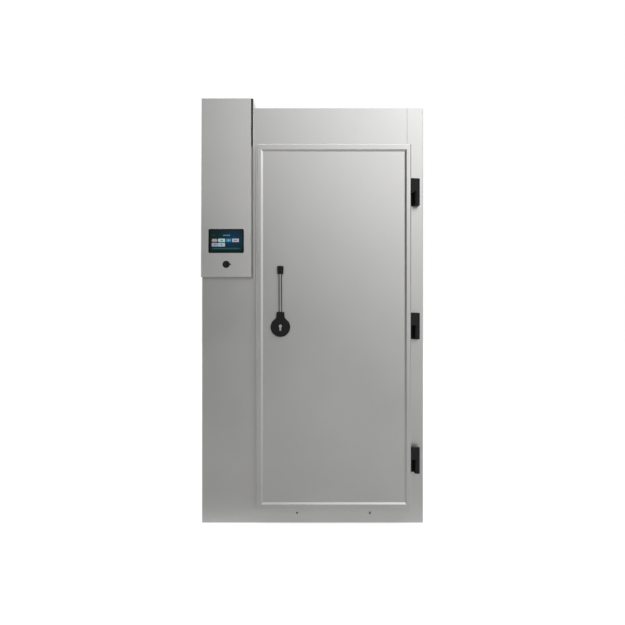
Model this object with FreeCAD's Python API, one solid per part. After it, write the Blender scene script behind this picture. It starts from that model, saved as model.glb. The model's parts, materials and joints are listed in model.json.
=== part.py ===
import FreeCAD
import Part
import os
from math import atan2, cos, degrees, pi, radians, sin, sqrt, tan

# Roll-in blast chiller: an insulated cabinet for one trolley, with a technical column on the left,
# an overlapping door on three hinges, a lever latch with a lock, and a wedge-shaped control fascia.
# Millimetres. X runs to the right, Y into the cabinet and Z up.
# The origin is the middle of the base, on the floor.

Vector = FreeCAD.Vector
X_AXIS = Vector(1, 0, 0)
Y_AXIS = Vector(0, 1, 0)
Z_AXIS = Vector(0, 0, 1)
ORIGIN = Vector(0, 0, 0)

# ------------------------------------------------------------------ cabinet
cabinet_width = 1200.0
cabinet_depth = 1100.0
cabinet_height = 2250.0
side_wall = 80.0
front_wall = 80.0
rear_wall = 80.0
roof_wall = 100.0
floor_wall = 120.0
sheet = 1.2
base_sheet = 2.0
floor_sheet = 3.0
fold_radius = 3.0
skin_return = 30.0
seam = 1.0
cove_radius = 20.0

# ------------------------------------------------------------------ doorway and front
column_width = 338.0
pillar_width = 110.0
header_drop = 142.0
lining = 3.0
header_left_inset = 269.0
header_right_inset = 86.0
ramp_hole_spacing = 395.0
ramp_hole_height = 53.0
ramp_hole_radius = 4.5
insert_wall = 1.5
insert_sides = 6
insert_flange_radius = 9.0
insert_flange = 1.5
insert_length = 18.0

# ------------------------------------------------------------------ door
door_thickness = 70.0
door_gap = 10.0
door_side_overlap = 38.0
door_end_overlap = 35.0
door_edge_radius = 4.0
door_edge_bevel = 2.5
door_pan_depth = 58.0
field_side_border = 24.0
field_end_border = 29.5
field_bevel = 11.0
field_depth = 4.0
trim_wall = 3.0
trim_cover = 25.0
gasket_inset = 6.0
gasket_width = 25.0
gasket_foot = 3.0
gasket_neck = 5.0
gasket_lip = 1.7
seal_clearance = 0.3

# ------------------------------------------------------------------ hinges
hinge_height = 144.0
hinge_low_inset = 264.0
hinge_high_inset = 254.0
hinge_split = 3.0
hinge_gap = 0.3
barrel_radius = 14.0
barrel_proud = 61.0
barrel_offset = 34.0
leaf_wall = 5.0
leaf_width = 58.0
hinge_bevel = 3.0
hinge_drop = 6.0
hinge_plate = 5.0
hinge_plate_gap = 3.0
pin_radius = 5.0
pin_end_margin = 12.0
pin_clearance = 0.05

# ------------------------------------------------------------------ lever latch
lever_inset = 129.0
lever_height = 1063.0
lever_length = 327.0
rosette_radius = 46.0
rosette_thickness = 6.0
turning_gap = 0.3
hub_radius = 52.0
hub_thickness = 26.0
hub_rounding = 6.0
neck_top = 81.0
neck_top_width = 38.0
neck_root_width = 50.0
neck_thickness = 30.0
neck_corner_share = 0.25
rod_radius = 9.5
rod_seat = 26.0
rod_tilt = 4.0
grip_foot_radius = 15.5
grip_radius = 17.5
grip_length = 45.0
grip_dome = 7.0
grip_collar = 2.0
grip_bore_depth = 22.0
spindle_side = 10.0
spindle_hole_radius = 9.0
spindle_seat = 8.0
release_radius = 30.0
release_length = 34.0
release_lobes = 6
release_scallop = 12.0
release_bite = 5.0
arm_reach = 82.0
arm_width = 20.0
arm_thickness = 8.0
arm_boss_radius = 16.0
arm_offset = 15.5
keeper_sheet = 4.0
keeper_reach = 26.0
keeper_height = 70.0
keeper_depth = 44.0
latch_clearance = 0.5
lock_radius = 8.5
lock_web = 10.0
lock_height = 33.0
lock_length = 17.0
lock_proud = 1.5
lock_rise = 5.0
plug_radius = 6.5
plug_proud = 0.6
key_slot_width = 2.4
key_slot_height = 8.5
key_slot_depth = 9.0
key_slot_drop = 5.0

# ------------------------------------------------------------------ control fascia
fascia_width = 279.0
fascia_bottom = 1332.0
fascia_top_depth = 21.0
fascia_bottom_depth = 52.0
fascia_chamfer = 12.0
cover_height = 50.0
cover_depth = 460.0
control_line = 135.5
display_height = 1526.0
display_width = 191.0
display_tall = 129.0
display_corner = 7.0
display_glass_thickness = 4.0
display_glass_bevel = 1.0
display_case_margin = 9.0
display_case_depth = 26.0
switch_height = 1400.0
switch_radius = 19.5
switch_flange = 3.0
switch_bevel = 1.0
switch_barrel_radius = 11.0
switch_barrel_length = 30.0
switch_box_side = 30.0
switch_box_depth = 14.0
knob_radius = 15.0
knob_height = 7.0
knob_dish_radius = 11.0
knob_dish_depth = 1.2
knob_nose = 28.0
knob_nose_width = 15.0
knob_nose_height = 4.0
knob_stem_radius = 4.0
board_height = 1760.0
board_width = 150.0
board_tall = 110.0
board_thickness = 1.6
board_standoff = 8.0
board_pillar_side = 8.0
relay_width = 20.0
relay_tall = 28.0
relay_depth = 15.0
relay_count = 5
rail_length = 190.0
rail_width = 35.0
rail_height = 7.5
rail_wall = 1.0
rail_lip = 7.0
terminal_pitch = 14.0
terminal_gap = 1.0
terminal_height = 30.0
terminal_base = 10.0
terminal_count = 11
rail_distance = 300.0
gland_bore = 6.5
gland_radius = 12.0
gland_nut = 15.0
gland_nut_length = 6.0
gland_dome_length = 16.0
gland_tail = 8.0
gland_taper = 3.0

# ------------------------------------------------------------------ evaporator
coil_gap = 15.0
coil_thickness = 100.0
coil_width = 600.0
coil_bottom = 230.0
coil_headroom = 90.0
fin_pitch = 30.0
fin_thickness = 3.0
fin_web = 24.0
end_plate = 3.0
end_plate_margin = 10.0
end_plate_foot = 25.0
tube_radius = 8.0
tube_spacing = 50.0
tube_rows = 7
tube_stub = 12.0
bend_sides = 6
tray_clearance = 12.0
tray_depth = 36.0
tray_margin = 12.0
pipe_offset = 58.0
pipe_spacing = 55.0
pipe_bend = 45.0
pipe_rise = 90.0
suction_radius = 14.0
liquid_radius = 8.0
pipe_wall = 1.2
socket_depth = 22.0
socket_clearance = 0.1
suction_entry = 270.0
liquid_entry = 260.0
drain_radius = 16.0
drain_wall = 2.0
drain_reach = 45.0
hole_clearance = 1.0

# ------------------------------------------------------------------ fan deflector
deflector_setback = 3.0
deflector_sheet = 1.5
deflector_flange = 25.0
deflector_front_gap = 70.0
deflector_rear_gap = 30.0
deflector_bottom = 172.0
deflector_headroom = 48.0
fan_count = 3
fan_end_distance = 345.0
guard_radius = 150.0
guard_hub_radius = 38.0
guard_rings = 4
guard_rib = 9.0
guard_spoke = 14.0
guard_spokes = 3
inner_chords = 2
outer_chords = 3
pivot_inset = 12.0
pivot_radius = 4.0
pivot_length = 12.0
pivot_plate = 4.0
pivot_gap = 0.3
pivot_plate_width = 30.0
stop_height = 60.0
stop_sheet = 3.0
stop_overlap = 36.0
thumb_radius = 9.0
thumb_height = 12.0
thumb_bevel = 1.5
thumb_shank_radius = 3.0
thumb_spacing = 1300.0
spider_reach = 172.0
spider_arms = 4
spider_width = 14.0
spider_thickness = 4.0
stator_radius = 27.0
stator_length = 22.0
fan_shaft_radius = 5.0
fan_shaft_length = 16.0
rotor_gap = 2.0
rotor_radius = 44.0
rotor_length = 58.0
rotor_rounding = 8.0
rotor_sides = 15
blade_count = 5
blade_tip_radius = 146.0
blade_root_radius = 36.0
blade_thickness = 2.5
blade_camber = 7.0
blade_steps = 4
blade_spans = 2
blade_root_chord = 46.0
blade_tip_chord = 88.0
blade_root_pitch = 42.0
blade_tip_pitch = 22.0

# ------------------------------------------------------------------ trolley guides
guide_height = 40.0
guide_width = 12.0
guide_gap = 4.0
guide_end_gap = 40.0
guide_tip = 4.0
guide_lead = 70.0

# ------------------------------------------------------------------ places worked out from the sizes
left = -cabinet_width / 2
right = cabinet_width / 2
front = -cabinet_depth / 2
rear = cabinet_depth / 2
top = cabinet_height
inner_left = left + side_wall
inner_right = right - side_wall
inner_front = front + front_wall
inner_rear = rear - rear_wall
ceiling = top - roof_wall
floor = floor_wall
floor_foam_top = floor - floor_sheet
inner_fold = fold_radius - sheet
insert_radius = (ramp_hole_radius + insert_wall) / cos(pi / insert_sides)

opening_right = right - pillar_width
opening_left = left + column_width
opening_middle = (opening_left + opening_right) / 2
opening_top = ceiling - header_drop
header_left = left + header_left_inset
header_right = right - header_right_inset

door_left = opening_left - door_side_overlap
door_right = opening_right + door_side_overlap
door_bottom = floor - door_end_overlap
door_top = opening_top + door_end_overlap
door_back = front - door_gap
door_front = door_back - door_thickness
door_pan_back = door_front + door_pan_depth
field_front = door_front + field_depth

hinge_x = door_right + barrel_offset
hinge_y = front - barrel_proud
hinge_ends = (door_bottom + hinge_low_inset, door_top - hinge_high_inset)
hinge_heights = [hinge_ends[0], sum(hinge_ends) / 2, hinge_ends[1]]

lever_x = door_left + lever_inset
rosette_front = field_front - rosette_thickness
hub_back = rosette_front - turning_gap
hub_front = hub_back - hub_thickness
arm_front = door_back + arm_offset
arm_back = arm_front + arm_thickness
release_back = arm_back + release_length
lock_front = hub_front - lock_proud
lock_axis_height = lever_height + lock_rise

fascia_right = left + fascia_width
fascia_top = top + cover_height
fascia_height = fascia_top - fascia_bottom
fascia_slope = atan2(fascia_bottom_depth - fascia_top_depth, fascia_height)
control_x = left + control_line
cover_rear = front + cover_depth

coil_left = inner_left + coil_gap
coil_right = coil_left + coil_thickness
coil_front = -coil_width / 2
coil_rear = coil_width / 2
coil_top = ceiling - coil_headroom
coil_height = coil_top - coil_bottom
tray_top = coil_bottom - tray_clearance
tray_bottom = tray_top - tray_depth
pipe_y = coil_rear + pipe_offset
suction_x = (coil_left + coil_right + pipe_spacing) / 2
liquid_x = (coil_left + coil_right - pipe_spacing) / 2
pipe_top = top + pipe_rise
drain_x = (coil_left + coil_right) / 2
drain_height = tray_bottom + drain_radius

deflector_face = opening_left - deflector_setback
deflector_back = deflector_face - deflector_flange
deflector_front = inner_front + deflector_front_gap
deflector_rear = inner_rear - deflector_rear_gap
deflector_top = ceiling - deflector_headroom
deflector_height = deflector_top - deflector_bottom
deflector_middle = (deflector_bottom + deflector_top) / 2
pivot_x = deflector_face - pivot_inset
pivot_y = deflector_rear - pivot_inset
fan_pitch = (deflector_height - 2 * fan_end_distance) / (fan_count - 1)
fan_heights = [
    deflector_bottom + fan_end_distance + step * fan_pitch for step in range(fan_count)
]
fan_y = 0.0
fan_names = ["bottom", "middle", "top"]

touch = 0.01
over = 5.0
fine_sides = 28
plain_sides = 12
bend_chords = 2


# ------------------------------------------------------------------ general forms
def block(x, y, z):
    """Box between pairs of limits along each axis."""
    return Part.makeBox(x[1] - x[0], y[1] - y[0], z[1] - z[0], Vector(x[0], y[0], z[0]))


def cylinder(radius, start, direction, length):
    """Round bar from a start point along a direction."""
    return Part.makeCylinder(radius, length, start, direction)


def polygon_face(points):
    """Flat face inside a closed run of points."""
    return Part.Face(Part.makePolygon(points + points[:1]))


def upright_rectangle(x, y, z):
    """Closed rectangle standing in an XZ plane at y."""
    corners = [(x[0], z[0]), (x[1], z[0]), (x[1], z[1]), (x[0], z[1])]
    points = [Vector(across, y, up) for across, up in corners]
    return Part.makePolygon(points + points[:1])


def edges_along(shape, axis, places):
    """Edges that run along an axis through the given places in the plane across it."""
    others = [other for other in range(3) if other != axis]
    chosen = []
    for edge in shape.Edges:
        middle = edge.CenterOfMass
        along = abs(edge.tangentAt(edge.FirstParameter)[axis]) > 1 - touch
        for place in places:
            near = all(abs(middle[other] - at) < touch for other, at in zip(others, place))
            if along and near:
                chosen.append(edge)
    return chosen


def edges_on_plane(shape, axis, value):
    """Edges whose ends all lie at one value along an axis."""
    chosen = []
    for edge in shape.Edges:
        if all(abs(vertex.Point[axis] - value) < touch for vertex in edge.Vertexes):
            chosen.append(edge)
    return chosen


def edges_off_plane(shape, axis, value):
    """Edges with an end away from one value along an axis."""
    kept = [edge.hashCode() for edge in edges_on_plane(shape, axis, value)]
    return [edge for edge in shape.Edges if edge.hashCode() not in kept]


def tray(limits, mouth, thickness):
    """Folded sheet tray with one open side, named by its axis and its end."""
    axis, end = mouth
    inner = [[low + thickness, high - thickness] for low, high in limits]
    inner[axis][end] = limits[axis][end] + (thickness if end else -thickness)
    return block(*limits).cut(block(*inner))


def circumscribed(radius, sides):
    """Corner radius of a many-sided outline whose flats touch a circle."""
    return radius / cos(pi / sides)


def ring_points(radius, sides, height):
    """Corners of a regular outline about the Z axis."""
    angles = [2 * pi * side / sides for side in range(sides)]
    return [Vector(radius * cos(angle), radius * sin(angle), height) for angle in angles]


def skinned(rings, flat=True):
    """Closed form over rings of points; sides that aren't flat are split in triangles."""
    faces = [polygon_face(rings[0]), polygon_face(rings[-1])]
    for low, high in zip(rings, rings[1:]):
        for here in range(len(low)):
            after = (here + 1) % len(low)
            if flat:
                faces.append(polygon_face([low[here], low[after], high[after], high[here]]))
            else:
                faces.append(polygon_face([low[here], low[after], high[after]]))
                faces.append(polygon_face([low[here], high[after], high[here]]))
    solid = Part.makeSolid(Part.makeShell(faces))
    return solid if solid.Volume > 0 else solid.reversed()


def turned(profile, sides, start, axis):
    """Form of (radius, height) pairs about an axis through start, with flats for the round."""
    solid = skinned([ring_points(radius, sides, height) for radius, height in profile])
    solid.Placement = FreeCAD.Placement(start, FreeCAD.Rotation(Z_AXIS, axis))
    return solid


def prism(radius, sides, start, axis, length):
    """Regular prism along an axis."""
    return turned([(radius, 0), (radius, length)], sides, start, axis)


def softened(radius, length, rounding):
    """Profile of a disc whose far edge is rounded in two steps."""
    step = rounding * (1 - cos(pi / 4))
    return [
        (radius, 0),
        (radius, length - rounding),
        (radius - step, length - step),
        (radius - rounding, length),
    ]


def bent_path(points, bend_radius):
    """Straight runs joined by bends of a few short chords."""
    route = [points[0]]
    for before, corner, after in zip(points, points[1:], points[2:]):
        to_before = (before - corner).normalize()
        to_after = (after - corner).normalize()
        half_turn = (pi - to_before.getAngle(to_after)) / 2
        setback = bend_radius * tan(half_turn)
        inward = (to_before + to_after).normalize()
        arc_middle = corner + inward * (bend_radius / cos(half_turn) - bend_radius)
        arc = Part.Arc(corner + to_before * setback, arc_middle, corner + to_after * setback)
        route.extend(arc.toShape().discretize(bend_chords + 1))
    route.append(points[-1])
    kept = [route[0]]
    for point in route[1:]:
        if (point - kept[-1]).Length > 2 * touch:
            kept.append(point)
    return Part.makePolygon(kept)


def bent_bar(points, bend_radius, radius, sides):
    """Many-sided bar along a bent path."""
    corners = ring_points(radius, sides, 0)
    section = Part.makePolygon(corners + corners[:1])
    turn = FreeCAD.Rotation(Z_AXIS, points[1] - points[0])
    section.Placement = FreeCAD.Placement(points[0], turn)
    return bent_path(points, bend_radius).makePipeShell([section], True, False, 1)


# ------------------------------------------------------------------ cabinet skins
def base_panel():
    corners = [(x, y) for x in (left, right) for y in (front, rear)]
    plate = block((left, right), (front, rear), (0, base_sheet))
    return plate.makeFillet(fold_radius, edges_along(plate, 2, corners))


def folded_face(outer_y, inner_y):
    """Full-width sheet whose two sides are folded back round the cabinet's corners."""
    return_y = outer_y + (inner_y - outer_y) * skin_return / sheet
    outer = block((left, right), sorted((outer_y, return_y)), (base_sheet, top))
    outer = outer.makeFillet(fold_radius, edges_along(outer, 2, [(left, outer_y), (right, outer_y)]))
    beyond_y = return_y + (inner_y - outer_y)
    x = (left + sheet, right - sheet)
    inner = block(x, sorted((inner_y, beyond_y)), (base_sheet - over, top + over))
    inner = inner.makeFillet(inner_fold, edges_along(inner, 2, [(a, inner_y) for a in x]))
    return outer.cut(inner)


def ramp_hole_places():
    return [opening_middle + side * ramp_hole_spacing / 2 for side in (-1, 1)]


def front_panel():
    """Left panel, threshold and pillar in one sheet; the header is a sheet of its own."""
    skin = folded_face(front, front + sheet)
    y = (front - over, front + sheet + over)
    skin = skin.cut(block((opening_left, opening_right), y, (floor, opening_top + over)))
    skin = skin.cut(block((header_left, header_right), y, (opening_top, top + over)))
    for x in ramp_hole_places():
        start = Vector(x, y[0], ramp_hole_height)
        skin = skin.cut(prism(insert_radius, insert_sides, start, Y_AXIS, y[1] - y[0]))
    return skin


def ramp_inserts():
    """Hexagonal threaded inserts in the threshold, which take the fixings of an access ramp."""
    inserts = []
    for x in ramp_hole_places():
        start = Vector(x, front - insert_flange, ramp_hole_height)
        body = prism(insert_radius, insert_sides, start, Y_AXIS, insert_length)
        flange = prism(insert_flange_radius, plain_sides, start, Y_AXIS, insert_flange)
        bore = cylinder(ramp_hole_radius, start, Y_AXIS, insert_length)
        inserts.append(body.fuse(flange).removeSplitter().cut(bore))
    return Part.makeCompound(inserts)


def header_panel():
    x = (header_left + seam, header_right - seam)
    return block(x, (front, front + sheet), (opening_top, top))


def side_panel(outer_x, inner_x):
    y = (front + skin_return + seam, rear - skin_return - seam)
    return block(sorted((outer_x, inner_x)), y, (base_sheet, top))


def rear_panel():
    skin = folded_face(rear, rear - sheet)
    start = Vector(drain_x, rear - over, drain_height)
    radius = circumscribed(drain_radius + hole_clearance, plain_sides)
    return skin.cut(prism(radius, plain_sides, start, Y_AXIS, 2 * over))


def roof_panel():
    x = (left + sheet, right - sheet)
    y = (front + sheet, rear - sheet)
    plate = block(x, y, (top - sheet, top))
    return bevelled_corners(plate, x, y).cut(pipe_holes())


def bevelled_corners(shape, x, y):
    """Upright corners cut back so that they clear the folded skins' inner radius."""
    places = [(a, b) for a in x for b in y]
    return shape.makeChamfer(inner_fold, edges_along(shape, 2, places))


def pipe_holes():
    """Clearance round both refrigerant pipes, through liner, foam and roof."""
    holes = []
    for x, radius in ((suction_x, suction_radius), (liquid_x, liquid_radius)):
        start = Vector(x, pipe_y, ceiling - over)
        around = circumscribed(radius + hole_clearance, plain_sides)
        holes.append(prism(around, plain_sides, start, Z_AXIS, top - ceiling + 2 * over))
    return Part.makeCompound(holes)


def drain_hole():
    start = Vector(drain_x, coil_rear, drain_height)
    radius = circumscribed(drain_radius + hole_clearance, plain_sides)
    return prism(radius, plain_sides, start, Y_AXIS, rear - coil_rear + over)


# ------------------------------------------------------------------ insulation
def floor_foam():
    x = (left + sheet, right - sheet)
    y = (front + sheet, rear - sheet)
    core = block(x, y, (base_sheet, floor_foam_top))
    core = bevelled_corners(core, x, y)
    for place in ramp_hole_places():
        start = Vector(place, front, ramp_hole_height)
        core = core.cut(prism(insert_radius, insert_sides, start, Y_AXIS, insert_length))
    return core


def roof_foam():
    x = (left + sheet, right - sheet)
    y = (front + sheet, rear - sheet)
    core = block(x, y, (ceiling + sheet, top - sheet))
    return bevelled_corners(core, x, y).cut(pipe_holes())


def wall_height():
    return (floor_foam_top, ceiling + sheet)


def side_foam():
    y = (front + sheet, inner_rear + sheet)
    cores = []
    for outer_x, inner_x in ((left + sheet, inner_left - sheet), (right - sheet, inner_right + sheet)):
        core = block(sorted((outer_x, inner_x)), y, wall_height())
        cores.append(bevelled_corners(core, [outer_x], [y[0]]))
    return Part.makeCompound(cores)


def rear_foam():
    x = (left + sheet, right - sheet)
    core = block(x, (inner_rear + sheet, rear - sheet), wall_height())
    return bevelled_corners(core, x, [rear - sheet]).cut(drain_hole())


def column_foam():
    x = (inner_left - sheet, opening_left - lining)
    return block(x, (front + sheet, inner_front - sheet), wall_height())


def pillar_foam():
    x = (opening_right + lining, inner_right + sheet)
    return block(x, (front + sheet, inner_front - sheet), wall_height())


def header_foam():
    x = (opening_left - lining, opening_right + lining)
    z = (opening_top + lining, ceiling + sheet)
    return block(x, (front + sheet, inner_front - sheet), z)


# ------------------------------------------------------------------ inside of the cabinet
def coved(shape, radius, x, y):
    """Round the four upright corners, which makes them easy to wipe."""
    places = [(a, b) for a in x for b in y]
    return shape.makeFillet(radius, edges_along(shape, 2, places))


def inner_liner():
    """Bright inner walls and ceiling in one shell, with coved corners and no floor."""
    x = (inner_left - sheet, inner_right + sheet)
    y = (inner_front - sheet, inner_rear + sheet)
    outer = block(x, y, wall_height())
    outer = coved(outer, cove_radius + sheet, x, y)
    room_x = (inner_left, inner_right)
    room_y = (inner_front, inner_rear)
    room = block(room_x, room_y, (floor_foam_top - over, ceiling))
    room = coved(room, cove_radius, room_x, room_y)
    doorway_x = (opening_left - lining, opening_right + lining)
    doorway_z = (floor_foam_top - over, opening_top + lining)
    doorway = block(doorway_x, (y[0] - over, inner_front + touch), doorway_z)
    return outer.cut(room).cut(doorway).cut(pipe_holes()).cut(drain_hole())


def floor_plate():
    x = (inner_left, inner_right)
    y = (inner_front, inner_rear)
    plate = block(x, y, (floor_foam_top, floor))
    return coved(plate, cove_radius, x, y)


def opening_frame():
    """Lining of the doorway, which closes the edge between outer skin and liner."""
    x = (opening_left, opening_right)
    z = (floor, opening_top)
    y = (front + sheet, inner_front)
    outer_x = (x[0] - lining, x[1] + lining)
    outer = block(outer_x, y, (floor_foam_top, z[1] + lining))
    return outer.cut(block(x, (y[0] - over, y[1] + over), z))


def trolley_guides():
    """Two rails on the floor that steer the trolley, with tapering lead-in ends."""
    guides = []
    start_y = inner_front + guide_end_gap
    end_y = inner_rear - guide_end_gap
    for near, side in ((opening_left + guide_gap, 1), (opening_right - guide_gap, -1)):
        far = near + side * guide_width
        outline = [
            Vector(near, end_y, floor),
            Vector(near, start_y, floor),
            Vector(near + side * guide_tip, start_y, floor),
            Vector(far, start_y + guide_lead, floor),
            Vector(far, end_y, floor),
        ]
        guides.append(polygon_face(outline).extrude(Vector(0, 0, guide_height)))
    return Part.makeCompound(guides)


def keeper():
    """Angle on the doorway's left reveal; the catch arm swings in behind its lip."""
    z = (lever_height - keeper_height / 2, lever_height + keeper_height / 2)
    lip_back = arm_front - latch_clearance
    lip_front = lip_back - keeper_sheet
    foot_x = (opening_left, opening_left + keeper_sheet)
    foot = block(foot_x, (lip_front, lip_front + keeper_depth), z)
    lip = block((opening_left, opening_left + keeper_reach), (lip_front, lip_back), z)
    corner_x = opening_left + keeper_reach
    lead = [
        Vector(corner_x, lip_front, z[0] - over),
        Vector(corner_x - keeper_sheet / 2, lip_front, z[0] - over),
        Vector(corner_x, lip_front + keeper_sheet / 2, z[0] - over),
    ]
    bevel = polygon_face(lead).extrude(Vector(0, 0, keeper_height + 2 * over))
    return foot.fuse(lip).cut(bevel).removeSplitter()


# ------------------------------------------------------------------ door
def door_form(inset):
    """The door's body drawn in by inset from each outer face, with its pressed field."""
    x = (door_left + inset, door_right - inset)
    z = (door_bottom + inset, door_top - inset)
    y = (door_front + inset, door_back - sheet)
    body = block(x, y, z)
    body = body.makeChamfer(door_edge_bevel - inset / 2, edges_off_plane(body, 1, y[1]))
    side = field_side_border
    end = field_end_border
    rim_x = (door_left + side, door_right - side)
    rim_z = (door_bottom + end, door_top - end)
    bed_x = (rim_x[0] + field_bevel, rim_x[1] - field_bevel)
    bed_z = (rim_z[0] + field_bevel, rim_z[1] - field_bevel)
    rim = upright_rectangle(rim_x, y[0], rim_z)
    bed = upright_rectangle(bed_x, field_front + inset, bed_z)
    return body.cut(Part.makeLoft([rim, bed], True, True))


def spindle_hole():
    start = Vector(lever_x, door_front - over, lever_height)
    return prism(spindle_hole_radius, plain_sides, start, Y_AXIS, door_thickness + 2 * over)


def door_outer_skin():
    """Pressed pan: a border, a bevel and a field that lies deeper, with folded sides."""
    skin = door_form(0).cut(door_form(sheet))
    y = (door_pan_back, door_back + over)
    behind = block((door_left - over, door_right + over), y, (door_bottom - over, door_top + over))
    return skin.cut(behind).cut(spindle_hole())


def door_edge_trim():
    """Edge profile that joins the two skins and carries the seal."""
    x = (door_left, door_right)
    z = (door_bottom, door_top)
    outer = block(x, (door_pan_back, door_back), z)
    corners = [(a, b) for a in x for b in z]
    outer = outer.makeFillet(door_edge_radius, edges_along(outer, 1, corners))
    side_x = (x[0] + trim_wall, x[1] - trim_wall)
    side_z = (z[0] + trim_wall, z[1] - trim_wall)
    side = block(side_x, (door_pan_back - over, door_back - trim_wall), side_z)
    mouth_x = (x[0] + trim_cover, x[1] - trim_cover)
    mouth_z = (z[0] + trim_cover, z[1] - trim_cover)
    mouth = block(mouth_x, (door_pan_back - over, door_back + over), mouth_z)
    return outer.cut(side).cut(mouth)


def door_foam():
    return door_form(sheet).cut(door_edge_trim()).cut(spindle_hole())


def door_inner_skin():
    x = (door_left + trim_cover, door_right - trim_cover)
    z = (door_bottom + trim_cover, door_top - trim_cover)
    return block(x, (door_back - sheet, door_back), z).cut(spindle_hole())


def door_gasket():
    """Seal with a flat foot and a hollow-looking bulb, mitred at the corners."""
    depth = door_gap - seal_clearance
    bulb = (gasket_neck, gasket_width - gasket_neck)
    profile = [
        (0, 0),
        (gasket_width, 0),
        (gasket_width, gasket_foot),
        (bulb[1], gasket_foot),
        (bulb[1], depth - gasket_lip),
        (bulb[1] - gasket_lip, depth),
        (bulb[0] + gasket_lip, depth),
        (bulb[0], depth - gasket_lip),
        (bulb[0], gasket_foot),
        (0, gasket_foot),
    ]
    outer_x = (door_left + gasket_inset, door_right - gasket_inset)
    outer_z = (door_bottom + gasket_inset, door_top - gasket_inset)
    rings = []
    for inset, out in profile:
        x = (outer_x[0] + inset, outer_x[1] - inset)
        z = (outer_z[0] + inset, outer_z[1] - inset)
        rings.append(upright_rectangle(x, door_back + out, z))
    faces = []
    for first, second in zip(rings, rings[1:] + rings[:1]):
        faces.extend(Part.makeRuledSurface(first, second).Faces)
    return Part.makeSolid(Part.makeShell(faces))


# ------------------------------------------------------------------ hinges
def barrel_outline(z, back_y):
    """Plan of a hinge block: a straight root that ends in the half-round barrel."""
    face_left = hinge_x - barrel_radius
    face_right = hinge_x + barrel_radius
    edges = [
        Part.LineSegment(Vector(face_right, back_y, z), Vector(face_left, back_y, z)),
        Part.LineSegment(Vector(face_left, back_y, z), Vector(face_left, hinge_y, z)),
        Part.Arc(
            Vector(face_left, hinge_y, z),
            Vector(hinge_x, hinge_y - barrel_radius, z),
            Vector(face_right, hinge_y, z),
        ),
        Part.LineSegment(Vector(face_right, hinge_y, z), Vector(face_right, back_y, z)),
    ]
    return Part.Face(Part.Wire([edge.toShape() for edge in edges]))


def arm_outline(z):
    """Plan of a door half's arm: straight from the door's edge, with a half-round end."""
    near_y = hinge_y - barrel_radius
    far_y = hinge_y + barrel_radius
    edges = [
        Part.LineSegment(Vector(hinge_x, far_y, z), Vector(door_right, far_y, z)),
        Part.LineSegment(Vector(door_right, far_y, z), Vector(door_right, near_y, z)),
        Part.LineSegment(Vector(door_right, near_y, z), Vector(hinge_x, near_y, z)),
        Part.Arc(
            Vector(hinge_x, near_y, z),
            Vector(hinge_x + barrel_radius, hinge_y, z),
            Vector(hinge_x, far_y, z),
        ),
    ]
    return Part.Face(Part.Wire([edge.toShape() for edge in edges]))


def pin_limits(middle):
    """Low and high end of the pin in the hinge at this height."""
    reach = hinge_height / 2 - pin_end_margin
    return (middle - reach, middle + reach)


def hinge_frame_halves():
    """Lower half of each hinge: a plate on the pillar and a block that ends in the barrel."""
    halves = []
    for middle in hinge_heights:
        low = middle - hinge_height / 2
        high = middle + hinge_split - hinge_gap / 2
        half = barrel_outline(low, front).extrude(Vector(0, 0, high - low))
        half = half.makeChamfer(hinge_bevel, edges_on_plane(half, 2, low))
        plate_x = (door_right + hinge_plate_gap, hinge_x)
        plate_y = (front - hinge_plate, front)
        half = half.fuse(block(plate_x, plate_y, (low + hinge_bevel, high))).removeSplitter()
        pin_low = pin_limits(middle)[0]
        seat = Vector(hinge_x, hinge_y, pin_low)
        hole = prism(pin_radius, plain_sides, seat, Z_AXIS, high - pin_low + over)
        halves.append(half.cut(hole))
    return Part.makeCompound(halves)


def hinge_top_slope(high):
    """Wedge taken off the upper half, so that its top falls away from the door."""
    x = (door_right - over, hinge_x + barrel_radius + over)
    reach = barrel_offset + barrel_radius
    fall = [high - hinge_drop * (place - door_right) / reach for place in x]
    y = hinge_y - leaf_width
    outline = [Vector(x[0], y, fall[0]), Vector(x[1], y, fall[1]), Vector(x[1], y, high + over)]
    outline.append(Vector(x[0], y, high + over))
    return polygon_face(outline).extrude(Vector(0, 3 * leaf_width, 0))


def hinge_door_halves():
    """Upper half of each hinge: a leaf on the door's edge, an arm and the barrel."""
    halves = []
    for middle in hinge_heights:
        low = middle + hinge_split + hinge_gap / 2
        high = middle + hinge_height / 2
        rise = Vector(0, 0, high - low)
        arm_y = (hinge_y - barrel_radius, hinge_y + barrel_radius)
        arm = arm_outline(low).extrude(rise)
        arm = arm.makeChamfer(hinge_bevel, edges_on_plane(arm, 2, high))
        leaf_y = (arm_y[0] + hinge_bevel, arm_y[0] + leaf_width)
        leaf_z = (low, high - hinge_bevel)
        leaf = block((door_right, door_right + leaf_wall), leaf_y, leaf_z)
        web = [
            Vector(door_right + leaf_wall, arm_y[1], low),
            Vector(hinge_x - barrel_radius, arm_y[1], low),
            Vector(door_right + leaf_wall, leaf_y[1] - leaf_wall, low),
        ]
        gusset = polygon_face(web).extrude(Vector(0, 0, leaf_z[1] - low))
        half = arm.fuse([leaf, gusset]).removeSplitter().cut(hinge_top_slope(high))
        pin_high = pin_limits(middle)[1]
        start = Vector(hinge_x, hinge_y, low - over)
        bore_length = pin_high + hinge_gap - start.z
        halves.append(half.cut(cylinder(pin_radius + pin_clearance, start, Z_AXIS, bore_length)))
    return Part.makeCompound(halves)


def hinge_pins():
    pins = []
    for middle in hinge_heights:
        low, high = pin_limits(middle)
        pins.append(prism(pin_radius, plain_sides, Vector(hinge_x, hinge_y, low), Z_AXIS, high - low))
    return Part.makeCompound(pins)


# ------------------------------------------------------------------ lever latch
def lever_point(y, up=0.0, across=0.0):
    """Point at depth y, measured up and across from the lever's axis."""
    return Vector(lever_x + across, y, lever_height + up)


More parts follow.
